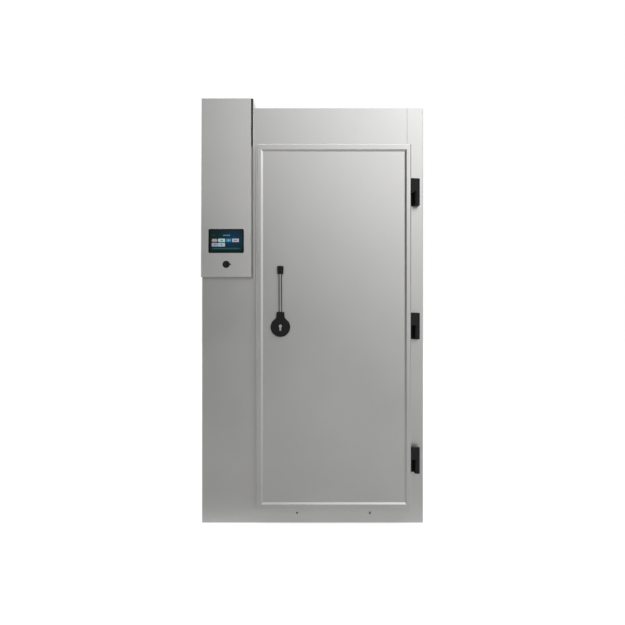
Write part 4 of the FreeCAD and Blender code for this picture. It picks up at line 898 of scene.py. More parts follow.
left, right, foot, top = wall_low.y, wall_high.y, wall_low.z, wall_high.z
corner_points = [(left, foot), (right, foot), (right, top), (left, top)]
add_outline(corner_points)
guard_inner, guard_outer, guard_rings, guard_rib, guard_spoke = 38 * mm, 150 * mm, 4, 9 * mm, 14 * mm
ring_pitch = (guard_outer - guard_inner) / guard_rings
for height in fan_heights.values():
    for ring in range(guard_rings):
        inner = guard_inner + ring * ring_pitch
        outer = inner + ring_pitch - guard_rib
        margin = (guard_spoke / 2 + (outer - inner) / 2) / inner
        for spoke in range(3):
            begin = 2 * pi * (spoke + ring % 2 / 2) / 3
            add_outline(curved_slot(height, inner, outer, begin + margin, begin + 2 * pi / 3 - margin))
flat_wall = bpy.data.objects.new("wall_outline", wall_curve)
wall_mesh = bpy.data.meshes.new_from_object(flat_wall)
upright = Matrix(((0, 0, 1, wall_high.x - wall_sheet / 2), (1, 0, 0, 0), (0, 1, 0, 0), (0, 0, 0, 1)))
wall = ([spot.co for spot in wall_mesh.vertices], [list(face.vertices) for face in wall_mesh.polygons])
piece("inner_wall", *moved(wall, upright), "liner_steel", "deflector")
bpy.data.objects.remove(flat_wall)

flange_boxes = []
for (low_y, low_z), (high_y, high_z) in (
    ((left, foot), (left + wall_sheet, top)),
    ((right - wall_sheet, foot), (right, top)),
    ((left, foot), (right, foot + wall_sheet)),
    ((left, top - wall_sheet), (right, top)),
):
    low, high = (wall_low.x, low_y, low_z), (wall_high.x - wall_sheet, high_y, high_z)
    flange_boxes.append(box_mesh(low, high))
piece("inner_wall_flanges", *joined(flange_boxes), "liner_steel", "deflector", ["fan_deflector"])
print("inner wall with", len(wall_curve.splines) - 1, "slots")

# %% [markdown]
# ## The evaporator
# Behind the inner wall hangs the evaporator: thin upright fins, pressed on tubes that run from end
# to end and come back in hairpin bends. The measured model keeps the fins far apart. Here they have
# a closer spacing, which looks like the real block and stays light, as each fin is one thin plate.

# %% Fins, tubes and hairpin bends
coil_low, coil_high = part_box("evaporator_fins")
fin_gap, fin_sheet = 7.5 * mm, 0.4 * mm
fin_count = int((coil_high.y - coil_low.y) / fin_gap)
fins = []
for place in range(fin_count):
    y = coil_low.y + fin_gap * (place + 0.5)
    fins.append(box_mesh((coil_low.x, y, coil_low.z), (coil_high.x, y + fin_sheet, coil_high.z)))
piece("fin_block", *joined(fins), "fin_aluminium", "cabinet", ["evaporator_fins"])

bend_low, bend_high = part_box("return_bends")
tube_radius, tube_spacing, tube_rows = 8 * mm, 50 * mm, 7
coil_x = (coil_low.x + coil_high.x) / 2
row_pitch = (coil_high.z - coil_low.z) / tube_rows
tubes, bends = [], []
for row in range(tube_rows):
    low = coil_low.z + row_pitch * (row + 0.5) - tube_spacing / 2
    for z in (low, low + tube_spacing):
        run = [(coil_x, coil_low.y, z), (coil_x, coil_high.y, z)]
        tubes.append(swept(run, tube_radius))
    face = bend_high.y
    out = face - 12 * mm
    route = [Vector((coil_x, face, low)), Vector((coil_x, out, low))]
    for step in range(1, 12):
        angle = pi * step / 12
        y = out - tube_spacing / 2 * sin(angle)
        route.append(Vector((coil_x, y, low + tube_spacing / 2 * (1 - cos(angle)))))
    route += [Vector((coil_x, out, low + tube_spacing)), Vector((coil_x, face, low + tube_spacing))]
    bends.append(swept(route, tube_radius * 0.99, steps=24))
piece("coil_tubes", *joined(tubes), "copper_tube", "cabinet")
piece("hairpins", *joined(bends), "copper_tube", "cabinet", ["return_bends"])
print(fin_count, "fins and", len(tubes), "tubes")

# %% [markdown]
# ## Refrigerant pipes, drain and cable gland
# Two copper pipes rise from the coil through the roof and end in widened sockets, ready to be
# brazed to the line from the condensing unit. A pipe is a ring swept along its route; the bend is
# a quarter circle. The socket is turned, with its bore left open.

# %% Pipes
pipe_y = 358 * mm
bend_reach = 45 * mm


def pipe(name, node, radius, entry):
    """Pipe from the coil's rear end up through the roof, with its socket."""
    low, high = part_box(node)
    x = (low.x + high.x) / 2
    socket_low = high.z - 22 * mm
    route = [Vector((x, low.y, entry)), Vector((x, pipe_y - bend_reach, entry))]
    for step in range(1, 11):
        angle = pi / 2 * step / 10
        y = pipe_y - bend_reach + bend_reach * sin(angle)
        route.append(Vector((x, y, entry + bend_reach * (1 - cos(angle)))))
    route.append(Vector((x, pipe_y, socket_low)))
    bell = [(radius, -2 * mm), (radius + 1.3 * mm, 2 * mm), (radius + 1.3 * mm, 21.4 * mm)]
    bell += [(radius + 1.0 * mm, 22 * mm), (radius + 0.1 * mm, 22 * mm), (radius + 0.1 * mm, 1.2 * mm)]
    bell += [(radius - 1.2 * mm, 1.2 * mm), (radius - 1.2 * mm, -40 * mm)]
    socket = turned(bell, Vector((x, pipe_y, socket_low)), Vector((0, 0, 1)), steps=40)
    tube = swept(route, radius, steps=28)
    tube = (tube[0], tube[1][:-1])
    socket = (socket[0], socket[1][:-2])
    return piece(name, *joined([tube, socket]), "copper_tube", "cabinet", [node])


pipe("suction_line", "suction_pipe", 14 * mm, 500 * mm)
pipe("liquid_line", "liquid_pipe", 8 * mm, 1800 * mm)

# %% [markdown]
# Meltwater leaves through a plastic pipe at the back, and the supply cable enters through a gland
# with a clamping nut. Both are turned shapes. The nut's flats come from turning its profile in six
# steps instead of many, which is how a hexagon can be made with the same helper.

# %% Drain and gland
drain_low, drain_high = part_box("drain_pipe")
drain_x, drain_z = (drain_low.x + drain_high.x) / 2, (drain_low.z + drain_high.z) / 2
drain_length = drain_high.y - drain_low.y
drain_profile = [(14 * mm, 0.0), (16 * mm, 0.0), (16 * mm, drain_length - 0.6 * mm)]
drain_profile += [(15.4 * mm, drain_length), (14.4 * mm, drain_length), (14 * mm, drain_length - 0.6 * mm)]
drain_profile += [(14 * mm, 0.0)]
drain = turned(drain_profile, Vector((drain_x, drain_low.y, drain_z)), Vector((0, 1, 0)), steps=48)
piece("drain_tube", drain[0], drain[1][:-2], "drain_plastic", "cabinet", ["drain_pipe"])

gland_low, gland_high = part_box("cable_gland")
gland_place = Vector((control_x, gland_low.y, (gland_low.z + gland_high.z) / 2))
gland_length = gland_high.y - gland_low.y
gland_profile = [(6.5 * mm, 0.0), (11.4 * mm, 0.0), (11.9 * mm, 0.8 * mm), (11.9 * mm, 15.2 * mm)]
for step in range(1, 9):
    angle = pi / 2 * step / 8
    gland_profile.append((7.6 * mm + 4.3 * mm * cos(angle), gland_length - 9 * mm + 9 * mm * sin(angle)))
gland_profile += [(6.5 * mm, gland_length), (6.5 * mm, 0.0)]
gland = turned(gland_profile, gland_place, Vector((0, 1, 0)), steps=48)
nut_start = gland_place + Vector((0, 9.2 * mm, 0))
nut_profile = [(14.2 * mm, 0.0), (15 * mm, 0.6 * mm), (15 * mm, 5.4 * mm), (14.2 * mm, 6 * mm)]
nut = turned(nut_profile, nut_start, Vector((0, 1, 0)), steps=6)
piece("gland_body", *joined([(gland[0], gland[1][:-2]), nut]), "gland_grey", "cabinet", ["cable_gland"])
print("drain length", round(drain_length, 3))

# %% [markdown]
# ## Small parts
# The release knob inside the room is a six-lobed star, so that a wet hand can turn it. Its outline
# is a circle whose radius dips between the lobes, and the same outline drawn in gives the rounded
# front. The thumb screws of the inner wall have a knurled rim, and the two threaded inserts in the
# threshold have a real bore with a thread.

# %% Release knob, thumb screws and inserts
knob_low, knob_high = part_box("release_knob")
star_radius, star_dip = 30 * mm, 4.2 * mm


def star_ring(inset, depth, steps=96):
    """Six-lobed outline, drawn in, at a depth."""
    ring = []
    for step in range(steps):
        angle = 2 * pi * step / steps
        dip = max(cos(6 * angle), -0.2) + 0.2
        radius = star_radius - inset - star_dip * (dip / 1.2) ** 1.5
        ring.append(Vector((lever_x + radius * cos(angle), depth, lever_z + radius * sin(angle))))
    return ring


star_rings = [star_ring(0.8 * mm, knob_low.y + 0.01 * mm), star_ring(0, knob_low.y + 1.2 * mm)]
for step in range(8):
    angle = pi / 2 * step / 7
    star_rings.append(star_ring(6 * mm * (1 - cos(angle)), knob_high.y - 6 * mm * (1 - sin(angle))))
piece("release_star", *rings_to_mesh(star_rings), "lever_plastic", "lever", ["release_knob"], crisp=50)

screw_low, screw_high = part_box("deflector_screws")
screw_y = (screw_low.y + screw_high.y) / 2
screws = []
for height in (487 * mm, 1787 * mm):
    rings = []
    for inset, along in ((0.6, 0.0), (0.0, 0.6), (0.0, 10.6), (1.2, 12.0), (5.0, 12.0), (5.4, 11.4)):
        ring = []
        for step in range(96):
            angle = 2 * pi * step / 96
            knurl = 0.35 * mm if step % 4 < 2 and inset == 0.0 else 0.0
            radius = 9 * mm - inset * mm - knurl
            across, up = screw_y + radius * cos(angle), height + radius * sin(angle)
            ring.append(Vector((wall_high.x + along * mm, across, up)))
        rings.append(ring)
    screws.append(rings_to_mesh(rings))
    shank = [(3 * mm, 0.0), (3 * mm, 27 * mm), (2.2 * mm, 28.3 * mm)]
    screws.append(turned(shank, Vector((wall_high.x, screw_y, height)), Vector((-1, 0, 0)), steps=24))
piece("thumb_screws", *joined(screws), "bright_steel", "deflector", ["deflector_screws"], crisp=25)

insert_low, insert_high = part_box("ramp_inserts")
insert_z = 53 * mm
flange_profile = [(8.4, 1.5), (9.0, 1.0), (9.0, 0.5), (8.5, 0.0), (5.1, 0.0)]
thread_profile = [(5.1, 0.0), (4.6, 0.6)]
for turn in range(1, 15):
    thread_profile += [(4.95, 0.1 + turn), (4.5, 0.6 + turn)]
thread_profile.append((4.5, 17.8))
sleeve_profile = [(6.3, 1.5), (6.3, 17.9)]
flanges, threads = [], []
for x in (-83.5 * mm, 311.5 * mm):
    start = Vector((x, insert_low.y, insert_z))
    for profile, sides, group in (
        (flange_profile, 48, flanges),
        (thread_profile, 48, threads),
        (sleeve_profile, 6, threads),
    ):
        in_metres = [(radius * mm, height * mm) for radius, height in profile]
        points, faces = turned(in_metres, start, Vector((0, 1, 0)), steps=sides)
        group.append((points, faces[:-2]))
piece("threshold_inserts", *joined(flanges), "bright_steel", "cabinet", ["ramp_inserts"], crisp=30)
piece("threshold_threads", *joined(threads), "bright_steel", "cabinet", crisp=30)
# The threads' black is partly their own oxide and partly painted shade for the bore.
finish_of["threshold_threads"] = "black_oxide"
print("small parts ready")

# %% [markdown]
# ## Finishes
# A finish is a small network of nodes. To keep networks short, effects that many finishes share are
# made once as node groups with named inputs: cloudy sheet metal, the fine grain of moulded plastic,
# faint handling marks, and dust that settles on faces that look up. All of them work in the
# object's own coordinates, in metres, so their grain has a true size on every piece.

# %% Helpers for shader nodes
def add(tree, kind, feeds=None, **settings):
    """Shader node with its settings; each feed is a value or another node's output."""
    made = tree.nodes.new("ShaderNode" + kind)
    for key, value in settings.items():
        setattr(made, key, value)
    for socket, value in (feeds or {}).items():
        if isinstance(value, bpy.types.NodeSocket):
            tree.links.new(value, made.inputs[socket])
        else:
            made.inputs[socket].default_value = value
    return made


def blend_colour(tree, share, first, second, mode="MIX"):
    """Colour between two colours."""
    feeds = {0: share, 6: first, 7: second}
    return add(tree, "Mix", feeds, data_type="RGBA", blend_type=mode).outputs[2]


def ranged(tree, value, low, high, to_low, to_high):
    """A value taken from one range to another and kept in it."""
    feeds = {0: value, 1: low, 2: high, 3: to_low, 4: to_high}
    return add(tree, "MapRange", feeds, clamp=True).outputs[0]


def number(tree, operation, first, second=0.0):
    """One sum on two values."""
    return add(tree, "Math", {0: first, 1: second}, operation=operation).outputs[0]


def noise(tree, place, scale, detail=2.0, roughness=0.5):
    """Noise value at a place, with features of about 1 / scale metres."""
    feeds = {"Vector": place, "Scale": scale, "Detail": detail, "Roughness": roughness}
    return add(tree, "TexNoise", feeds).outputs[0]


def effect(name, inputs, outputs):
    """Empty node group with its sockets; returns the group and its two end nodes."""
    tree = bpy.data.node_groups.new(name, "ShaderNodeTree")
    for label, kind, value in inputs:
        socket = tree.interface.new_socket(label, in_out="INPUT", socket_type="NodeSocket" + kind)
        socket.default_value = value
    for label, kind in outputs:
        tree.interface.new_socket(label, in_out="OUTPUT", socket_type="NodeSocket" + kind)
    return tree, tree.nodes.new("NodeGroupInput"), tree.nodes.new("NodeGroupOutput")


def send(tree, end, **values):
    """Wires values to the outputs of a group."""
    for label, value in values.items():
        tree.links.new(value, end.inputs[label])


def use(tree, group, feeds=None):
    """A group placed in a finish."""
    made = tree.nodes.new("ShaderNodeGroup")
    made.node_tree = group
    for socket, value in (feeds or {}).items():
        if isinstance(value, bpy.types.NodeSocket):
            tree.links.new(value, made.inputs[socket])
        else:
            made.inputs[socket].default_value = value
    return made


print("node helpers ready")

# %% [markdown]
# Smooth sheet steel is never quite even: the rolls leave wide soft clouds, and a very fine mottle
# lies over them. A photographed texture would stretch on long sheets, so two noises make both, one
# a hand wide and one a few millimetres, and together they sway the colour and the roughness a bit.

# %% Shared effect: sheet metal
grey = (0.5, 0.5, 0.5, 1.0)
sheet_metal, start, end = effect(
    "sheet_metal",
    [
        ("Tint", "Color", grey),
        ("Roughness", "Float", 0.35),
        ("Cloud Size", "Float", 0.25),
        ("Mottle Size", "Float", 0.004),
        ("Strength", "Float", 1.0),
    ],
    [("Color", "Color"), ("Roughness", "Float"), ("Height", "Float")],
)
place = add(sheet_metal, "TexCoord").outputs["Object"]
cloud_scale = number(sheet_metal, "DIVIDE", 1.0, start.outputs["Cloud Size"])
mottle_scale = number(sheet_metal, "DIVIDE", 1.0, start.outputs["Mottle Size"])
cloud = noise(sheet_metal, place, cloud_scale, 3.0)
mottle = noise(sheet_metal, place, mottle_scale, 2.0, 0.6)
strength = start.outputs["Strength"]
cloud_part = number(sheet_metal, "MULTIPLY", cloud, 0.6)
both = number(sheet_metal, "ADD", cloud_part, number(sheet_metal, "MULTIPLY", mottle, 0.4))
swing = number(sheet_metal, "MULTIPLY", number(sheet_metal, "SUBTRACT", both, 0.5), strength)
lightness = number(sheet_metal, "ADD", 1.0, number(sheet_metal, "MULTIPLY", swing, 0.16))
tinted = blend_colour(sheet_metal, 1.0, start.outputs["Tint"], lightness, "MULTIPLY")
rough = number(sheet_metal, "ADD", start.outputs["Roughness"], number(sheet_metal, "MULTIPLY", swing, 0.14))
send(sheet_metal, end, Color=tinted, Roughness=rough, Height=mottle)
print("group:", sheet_metal.name)

# %% [markdown]
# Black moulded plastic has an eroded grain from its mould, and its sheen drifts over a hand's width.
# Cell noise stands for the grain and feeds the bump, and a soft noise sways colour and roughness.

# %% Shared effect: moulded grain
moulded, start, end = effect(
    "moulded_grain",
    [("Tint", "Color", grey), ("Roughness", "Float", 0.45), ("Grain Size", "Float", 0.0012)],
    [("Color", "Color"), ("Roughness", "Float"), ("Height", "Float")],
)
place = add(moulded, "TexCoord").outputs["Object"]
grain_scale = number(moulded, "DIVIDE", 1.0, start.outputs["Grain Size"])
grain = add(moulded, "TexVoronoi", {"Vector": place, "Scale": grain_scale}).outputs[0]
patch = noise(moulded, place, 9.0, 3.0)
lightness = ranged(moulded, patch, 0.3, 0.7, 0.88, 1.12)
tinted = blend_colour(moulded, 1.0, start.outputs["Tint"], lightness, "MULTIPLY")
patch_swing = number(moulded, "MULTIPLY", number(moulded, "SUBTRACT", patch, 0.5), 0.16)
rough = number(moulded, "ADD", start.outputs["Roughness"], patch_swing)
send(moulded, end, Color=tinted, Roughness=rough, Height=grain)
print("group:", moulded.name)

# %% [markdown]
# Fingers leave duller patches, and dust settles only on what looks up. The first is a noise cut off
# at a threshold and added to the roughness. The second asks the surface which way it faces, so one
# group serves every piece without painting masks by hand.

# %% Shared effect: handling marks and settled dust
handled, start, end = effect(
    "handling_marks",
    [("Roughness", "Float", 0.3), ("Amount", "Float", 0.08), ("Size", "Float", 0.05)],
    [("Roughness", "Float")],
)
place = add(handled, "TexCoord").outputs["Object"]
mark_scale = number(handled, "DIVIDE", 1.0, start.outputs["Size"])
marks = ranged(handled, noise(handled, place, mark_scale, 4.0, 0.65), 0.5, 0.72, 0.0, 1.0)
more = number(handled, "MULTIPLY", marks, start.outputs["Amount"])
send(handled, end, Roughness=number(handled, "ADD", start.outputs["Roughness"], more))

dusted, start, end = effect(
    "settled_dust",
    [("Color", "Color", grey), ("Roughness", "Float", 0.3), ("Amount", "Float", 0.25)],
    [("Color", "Color"), ("Roughness", "Float")],
)
place = add(dusted, "TexCoord").outputs["Object"]
facing = add(dusted, "SeparateXYZ", {0: add(dusted, "NewGeometry").outputs["Normal"]}).outputs["Z"]
upward = ranged(dusted, facing, 0.6, 0.98, 0.0, 1.0)
speckle = ranged(dusted, noise(dusted, place, 40.0, 5.0, 0.7), 0.42, 0.68, 0.0, 1.0)
share = number(dusted, "MULTIPLY", number(dusted, "MULTIPLY", upward, speckle), start.outputs["Amount"])
dust_colour = (0.42, 0.4, 0.37, 1.0)
soiled = blend_colour(dusted, share, start.outputs["Color"], dust_colour)
duller = number(dusted, "ADD", start.outputs["Roughness"], number(dusted, "MULTIPLY", share, 0.4))
send(dusted, end, Color=soiled, Roughness=duller)
print("groups:", handled.name, "and", dusted.name)

# %% [markdown]
# Sheet steel, plastic and bare metal differ only in a few numbers, so each family has one function
# that builds the finish from the shared groups. Everything that is the same all over, such as how
# metallic it is, is set on the shader itself.

# %% Families of finishes
finishes = {}


def surface(name, **settings):
    """New material with its main shader."""
    material = bpy.data.materials.new(name)
    material.use_nodes = True
    tree = material.node_tree
    shader = tree.nodes["Principled BSDF"]
    for label, value in settings.items():
        shader.inputs[label.replace("_", " ")].default_value = value
    finishes[name] = material
    return tree, shader


def bumped(tree, shader, height, depth, strength=1.0):
    """Feeds a height into the shader's normal."""
    feeds = {"Height": height, "Distance": depth, "Strength": strength}
    tree.links.new(add(tree, "Bump", feeds).outputs[0], shader.inputs["Normal"])


def sheet_finish(name, tint, rough, cloud=0.25, mottle=0.004, strength=1.0, marks=0.015, dust=0.2):
    """Smooth sheet steel: cloudy, faintly mottled, touched here and there, dusty on top."""
    tree, shader = surface(name, Metallic=1.0)
    feeds = {"Tint": (*tint, 1.0), "Roughness": rough, "Cloud Size": cloud, "Mottle Size": mottle}
    base = use(tree, sheet_metal, {**feeds, "Strength": strength})
    touched = use(tree, handled, {"Roughness": base.outputs["Roughness"], "Amount": marks})
    feeds = {"Color": base.outputs["Color"], "Roughness": touched.outputs[0], "Amount": dust}
    final = use(tree, dusted, feeds)
    tree.links.new(final.outputs["Color"], shader.inputs["Base Color"])
    tree.links.new(final.outputs["Roughness"], shader.inputs["Roughness"])
    bumped(tree, shader, base.outputs["Height"], 0.00001)
    return tree, shader


def plastic_finish(name, tint, rough, grain=0.0012, depth=0.00003, dust=0.1, **settings):
    """Moulded plastic or rubber with a fine grain."""
    tree, shader = surface(name, **settings)
    base = use(tree, moulded, {"Tint": (*tint, 1.0), "Roughness": rough, "Grain Size": grain})
    feeds = {"Color": base.outputs["Color"], "Roughness": base.outputs["Roughness"], "Amount": dust}
    final = use(tree, dusted, feeds)
    tree.links.new(final.outputs["Color"], shader.inputs["Base Color"])
    tree.links.new(final.outputs["Roughness"], shader.inputs["Roughness"])
    bumped(tree, shader, base.outputs["Height"], depth)
    return tree, shader


steel = (0.56, 0.558, 0.548)
sheet_finish("cabinet_steel", steel, 0.3)
sheet_finish("door_steel", steel, 0.3, cloud=0.4)
sheet_finish("liner_steel", (0.6, 0.598, 0.59), 0.3, cloud=0.18)
sheet_finish("floor_steel", (0.5, 0.5, 0.49), 0.42, mottle=0.01, strength=2.0, marks=0.12, dust=0.4)
sheet_finish("bright_steel", (0.62, 0.61, 0.6), 0.24, cloud=0.03, mottle=0.001)
sheet_finish("lock_nickel", (0.6, 0.59, 0.55), 0.22, cloud=0.01, mottle=0.0008, dust=0.0)
sheet_finish("fin_aluminium", (0.7, 0.71, 0.72), 0.34, cloud=0.05, mottle=0.002)
sheet_finish("copper_tube", (0.72, 0.36, 0.22), 0.3, cloud=0.04, mottle=0.002, strength=2.5)

black = (0.009, 0.009, 0.0095)
plastic_finish("lever_plastic", black, 0.42, Specular_IOR_Level=0.22)
plastic_finish("hinge_plastic", (0.0135, 0.0135, 0.014), 0.5, grain=0.0016, Specular_IOR_Level=0.22)
plastic_finish("switch_plastic", black, 0.4, Specular_IOR_Level=0.22)
# The black oxide is partly the threads' own black and partly painted shade: darker and duller than real
# oxide, so the bores read as shadowed holes.
plastic_finish("black_oxide", (0.006, 0.006, 0.006), 0.6, grain=0.0006, dust=0.0, Specular_IOR_Level=0.05)
plastic_finish("display_case", (0.02, 0.02, 0.021), 0.5)
plastic_finish("lining_plastic", (0.05, 0.05, 0.052), 0.5, grain=0.002)
plastic_finish("seal_rubber", (0.032, 0.032, 0.033), 0.62, grain=0.0009)
plastic_finish("terminal_grey", (0.36, 0.37, 0.38), 0.45)
plastic_finish("gland_grey", (0.3, 0.31, 0.32), 0.5)
plastic_finish("drain_plastic", (0.34, 0.35, 0.36), 0.4, grain=0.003)
plastic_finish("motor_black", (0.02, 0.02, 0.022), 0.38, grain=0.0008)
plastic_finish("blade_plastic", (0.045, 0.046, 0.05), 0.44)
# The foam is painted far darker than real foam: painted shade in the seams and holes where it shows.
plastic_finish("foam", (0.16, 0.13, 0.08), 0.85, grain=0.003, depth=0.0005)
print(len(finishes), "finishes so far")

# %% [markdown]
# Polished chrome on a round bar shows what stands beside it as lines along the bar. In a studio
# these are dark gaps between the lights. The soft surroundings here have no such gaps, so they are
# painted into the base colour: a painted reflection that is dark where the bar turns away from the
# eye, a painted highlight as a bright line down its middle, and a fainter painted highlight at its rims.

# %% Chrome
tree, shader = surface("lever_chrome", Metallic=1.0)
touched = use(tree, handled, {"Roughness": 0.07, "Amount": 0.05, "Size": 0.03})
tree.links.new(touched.outputs[0], shader.inputs["Roughness"])
# Painted reflection in the base colour: dark where the bar turns away, painted highlights along its middle
# and rims.
turned_away = add(tree, "LayerWeight", {0: 0.5}).outputs["Facing"]
painted_middle_highlight = ranged(tree, turned_away, 0.03, 0.09, 1.0, 0.0)
painted_rim_highlight = ranged(tree, turned_away, 0.7, 1.0, 0.0, 0.5)
lightness = number(tree, "MAXIMUM", painted_middle_highlight, painted_rim_highlight)
chrome = blend_colour(tree, lightness, (0.16, 0.16, 0.165, 1.0), (0.62, 0.62, 0.625, 1.0))
tree.links.new(chrome, shader.inputs["Base Color"])
print("chrome bar shaded")

# %% [markdown]
# The circuit board needs more than a plain tint: green lacquer over copper tracks. A stepped noise
# draws the tracks, which stand a hair above the board and show a lighter green.

# %% Circuit board
tree, shader = surface("board_green", Coat_Weight=0.3)
place = add(tree, "TexCoord").outputs["Object"]
spread = add(tree, "TexVoronoi", {"Vector": place, "Scale": 160.0}, distance="MANHATTAN").outputs[0]
tracks = ranged(tree, number(tree, "PINGPONG", spread, 0.12), 0.055, 0.065, 0.0, 1.0)
lacquer = blend_colour(tree, tracks, (0.012, 0.09, 0.04, 1.0), (0.03, 0.17, 0.07, 1.0))
tree.links.new(lacquer, shader.inputs["Base Color"])
tree.links.new(ranged(tree, tracks, 0.0, 1.0, 0.32, 0.26), shader.inputs["Roughness"])
bumped(tree, shader, tracks, 0.00005)
print("board tracks drawn")

# %% [markdown]
# The pane is opaque black glass: a deep colour under a clear, very smooth surface with the odd
# fingertip mark. The lit picture below it is drawn with soft gradients across its own width.

# %% Screen glass and picture
tree, shader = surface("display_glass", IOR=1.5, Specular_IOR_Level=0.2)
place = add(tree, "TexCoord").outputs["Object"]
depth_tint = ranged(tree, noise(tree, place, 14.0, 2.0), 0.3, 0.7, 0.002, 0.005)
tree.links.new(depth_tint, shader.inputs["Base Color"])
touched = use(tree, handled, {"Roughness": 0.06, "Amount": 0.1, "Size": 0.02})
tree.links.new(touched.outputs[0], shader.inputs["Roughness"])

tree, shader = surface("screen_picture", Roughness=0.12, Specular_IOR_Level=0.1, Emission_Strength=1.0)
place = add(tree, "TexCoord").outputs["Object"]
axes = add(tree, "SeparateXYZ", {0: place})
low_x, high_x = control_x - picture_width / 2, control_x + picture_width / 2
span_x = ranged(tree, axes.outputs["X"], low_x, high_x, -1.0, 1.0)
low_z, high_z = display_height - picture_tall / 2, display_height + picture_tall / 2
span_z = ranged(tree, axes.outputs["Z"], low_z, high_z, -1.0, 1.0)
off_x = number(tree, "SUBTRACT", span_x, 0.35)
off_z = number(tree, "SUBTRACT", span_z, 0.15)
squares = [number(tree, "MULTIPLY", off, off) for off in (off_x, off_z)]
distance = number(tree, "SQRT", number(tree, "ADD", *squares))
halo = ranged(tree, distance, 0.0, 1.1, 1.0, 0.0)
night = blend_colour(tree, halo, (0.003, 0.014, 0.011, 1.0), (0.004, 0.035, 0.085, 1.0))
from_line = number(tree, "ABSOLUTE", number(tree, "SUBTRACT", span_z, -0.7))
to_ends = ranged(tree, number(tree, "ABSOLUTE", span_x), 0.75, 0.95, 1.0, 0.0)
band = number(tree, "MULTIPLY", ranged(tree, from_line, 0.02, 0.09, 1.0, 0.0), to_ends)
picture_colour = blend_colour(tree, band, night, (0.02, 0.085, 0.08, 1.0))
tree.links.new(picture_colour, shader.inputs["Emission Color"])
shader.inputs["Base Color"].default_value = (0.003, 0.004, 0.004, 1.0)


def lit_tile(name, colour, level=0.6):
    """A tile of the picture: its colour glows nearly evenly, with a faint random sway."""
    tree, shader = surface("tile_" + name, Roughness=0.15, Specular_IOR_Level=0.1, Emission_Strength=level)
    place = add(tree, "TexCoord").outputs["Object"]
    soft = ranged(tree, noise(tree, place, 60.0, 1.0), 0.3, 0.7, 0.92, 1.08)
    shaded = blend_colour(tree, 1.0, (*colour, 1.0), soft, "MULTIPLY")
    tree.links.new(shaded, shader.inputs["Emission Color"])
    darker = blend_colour(tree, 1.0, shaded, (0.3, 0.3, 0.3, 1.0), "MULTIPLY")
    tree.links.new(darker, shader.inputs["Base Color"])


lit_tile("oval", (0.4, 0.37, 0.33))
lit_tile("mint", (0.5, 0.68, 0.62))
lit_tile("blue", (0.05, 0.26, 0.42))
lit_tile("lilac", (0.5, 0.5, 0.55))
lit_tile("lavender", (0.36, 0.36, 0.52))
lit_tile("sky", (0.42, 0.54, 0.62))
lit_tile("title", (0.16, 0.27, 0.28))
lit_tile("mark", (0.03, 0.09, 0.08))
lit_tile("mint_mark", (0.1, 0.3, 0.28))
lit_tile("blue_mark", (0.2, 0.5, 0.66))
lit_tile("lilac_mark", (0.08, 0.09, 0.12))
lit_tile("lavender_mark", (0.15, 0.14, 0.3))
lit_tile("sky_mark", (0.1, 0.25, 0.4))
print(len(finishes), "finishes")

# %% [markdown]
# Each measured piece names the finish it needs, and so does each new piece. The finishes could be
# assigned one by one in the interface, but a loop over the names can't forget a piece.

# %% Every piece gets its finish
for name, node in nodes.items():
    for holder in node.material_slots:
        holder.material = finishes[slot_of[name]]
for name, finish in finish_of.items():
    bpy.data.objects[name].data.materials.append(finishes[finish])
print("dressed", len(nodes), "nodes and", len(finish_of), "pieces")

# %% [markdown]
# ## Floor, light and camera
# The cabinet stands on white in an even studio. The floor is a plain plate that shows the eye pure
# white but still takes the shadow: it glows for the eye and is plain paper for all other light.

# %% Floor
floor_half = 30.0
floor_glow = 0.7
corners = [(floor_half * x, floor_half * y) for x, y in ((-1, -1), (1, -1), (1, 1), (-1, 1))]
floor_mesh = bpy.data.meshes.new("studio_floor")
floor_mesh.from_pydata([(x, y, cad_box[0].z - 0.0005) for x, y in corners], [], [(0, 1, 2, 3)])
floor = bpy.data.objects.new("studio_floor", floor_mesh)
bpy.context.scene.collection.objects.link(floor)
floor_material = bpy.data.materials.new("studio_white")
floor_material.use_nodes = True
tree = floor_material.node_tree
shader = tree.nodes["Principled BSDF"]
shader.inputs["Roughness"].default_value = 0.9
shader.inputs["Specular IOR Level"].default_value = 0.0
place = add(tree, "TexCoord").outputs["Object"]
paper = ranged(tree, noise(tree, place, 2.0), 0.3, 0.7, 0.78, 0.82)
tree.links.new(paper, shader.inputs["Base Color"])
path = add(tree, "LightPath").outputs
beyond = ranged(tree, add(tree, "SeparateXYZ", {0: place}).outputs["Y"], -1.0, 0.0, 0.12, 1.0)
mirrored = number(tree, "MAXIMUM", path["Is Glossy Ray"], path["Is Transmission Ray"])
seen = number(tree, "MAXIMUM", path["Is Camera Ray"], number(tree, "MULTIPLY", mirrored, beyond))
shader.inputs["Emission Color"].default_value = (1.0, 1.0, 1.0, 1.0)
tree.links.new(number(tree, "MULTIPLY", seen, floor_glow), shader.inputs["Emission Strength"])
floor_mesh.materials.append(floor_material)
print("floor plate:", 2 * floor_half, "m wide")

# %% [markdown]
# Brushed and rolled steel shows little of its own colour and mostly mirrors the room, so the room
# decides how it looks. The photograph's sheets are brighter to the upper right and darker to the
# left, so this room is dark with a few soft patches of light: a wide bank at the right, a lamp high
# in the middle, a wall far to the left, a floor and a ceiling. Each has a heading, a level middle
# and a soft edge. A thin flag, as photographers use, shades the bank's upper far end. One more patch
# overhead is for mirror rays only, so that it leaves the floor be.
# The eye sees plain white, and so do mirror rays that pass behind the object.

# %% Surroundings
world = bpy.data.worlds.new("studio")
bpy.context.scene.world = world
world.use_nodes = True
tree = world.node_tree
backdrop = tree.nodes["Background"]
heading = add(tree, "SeparateXYZ", {0: add(tree, "TexCoord").outputs["Generated"]}).outputs


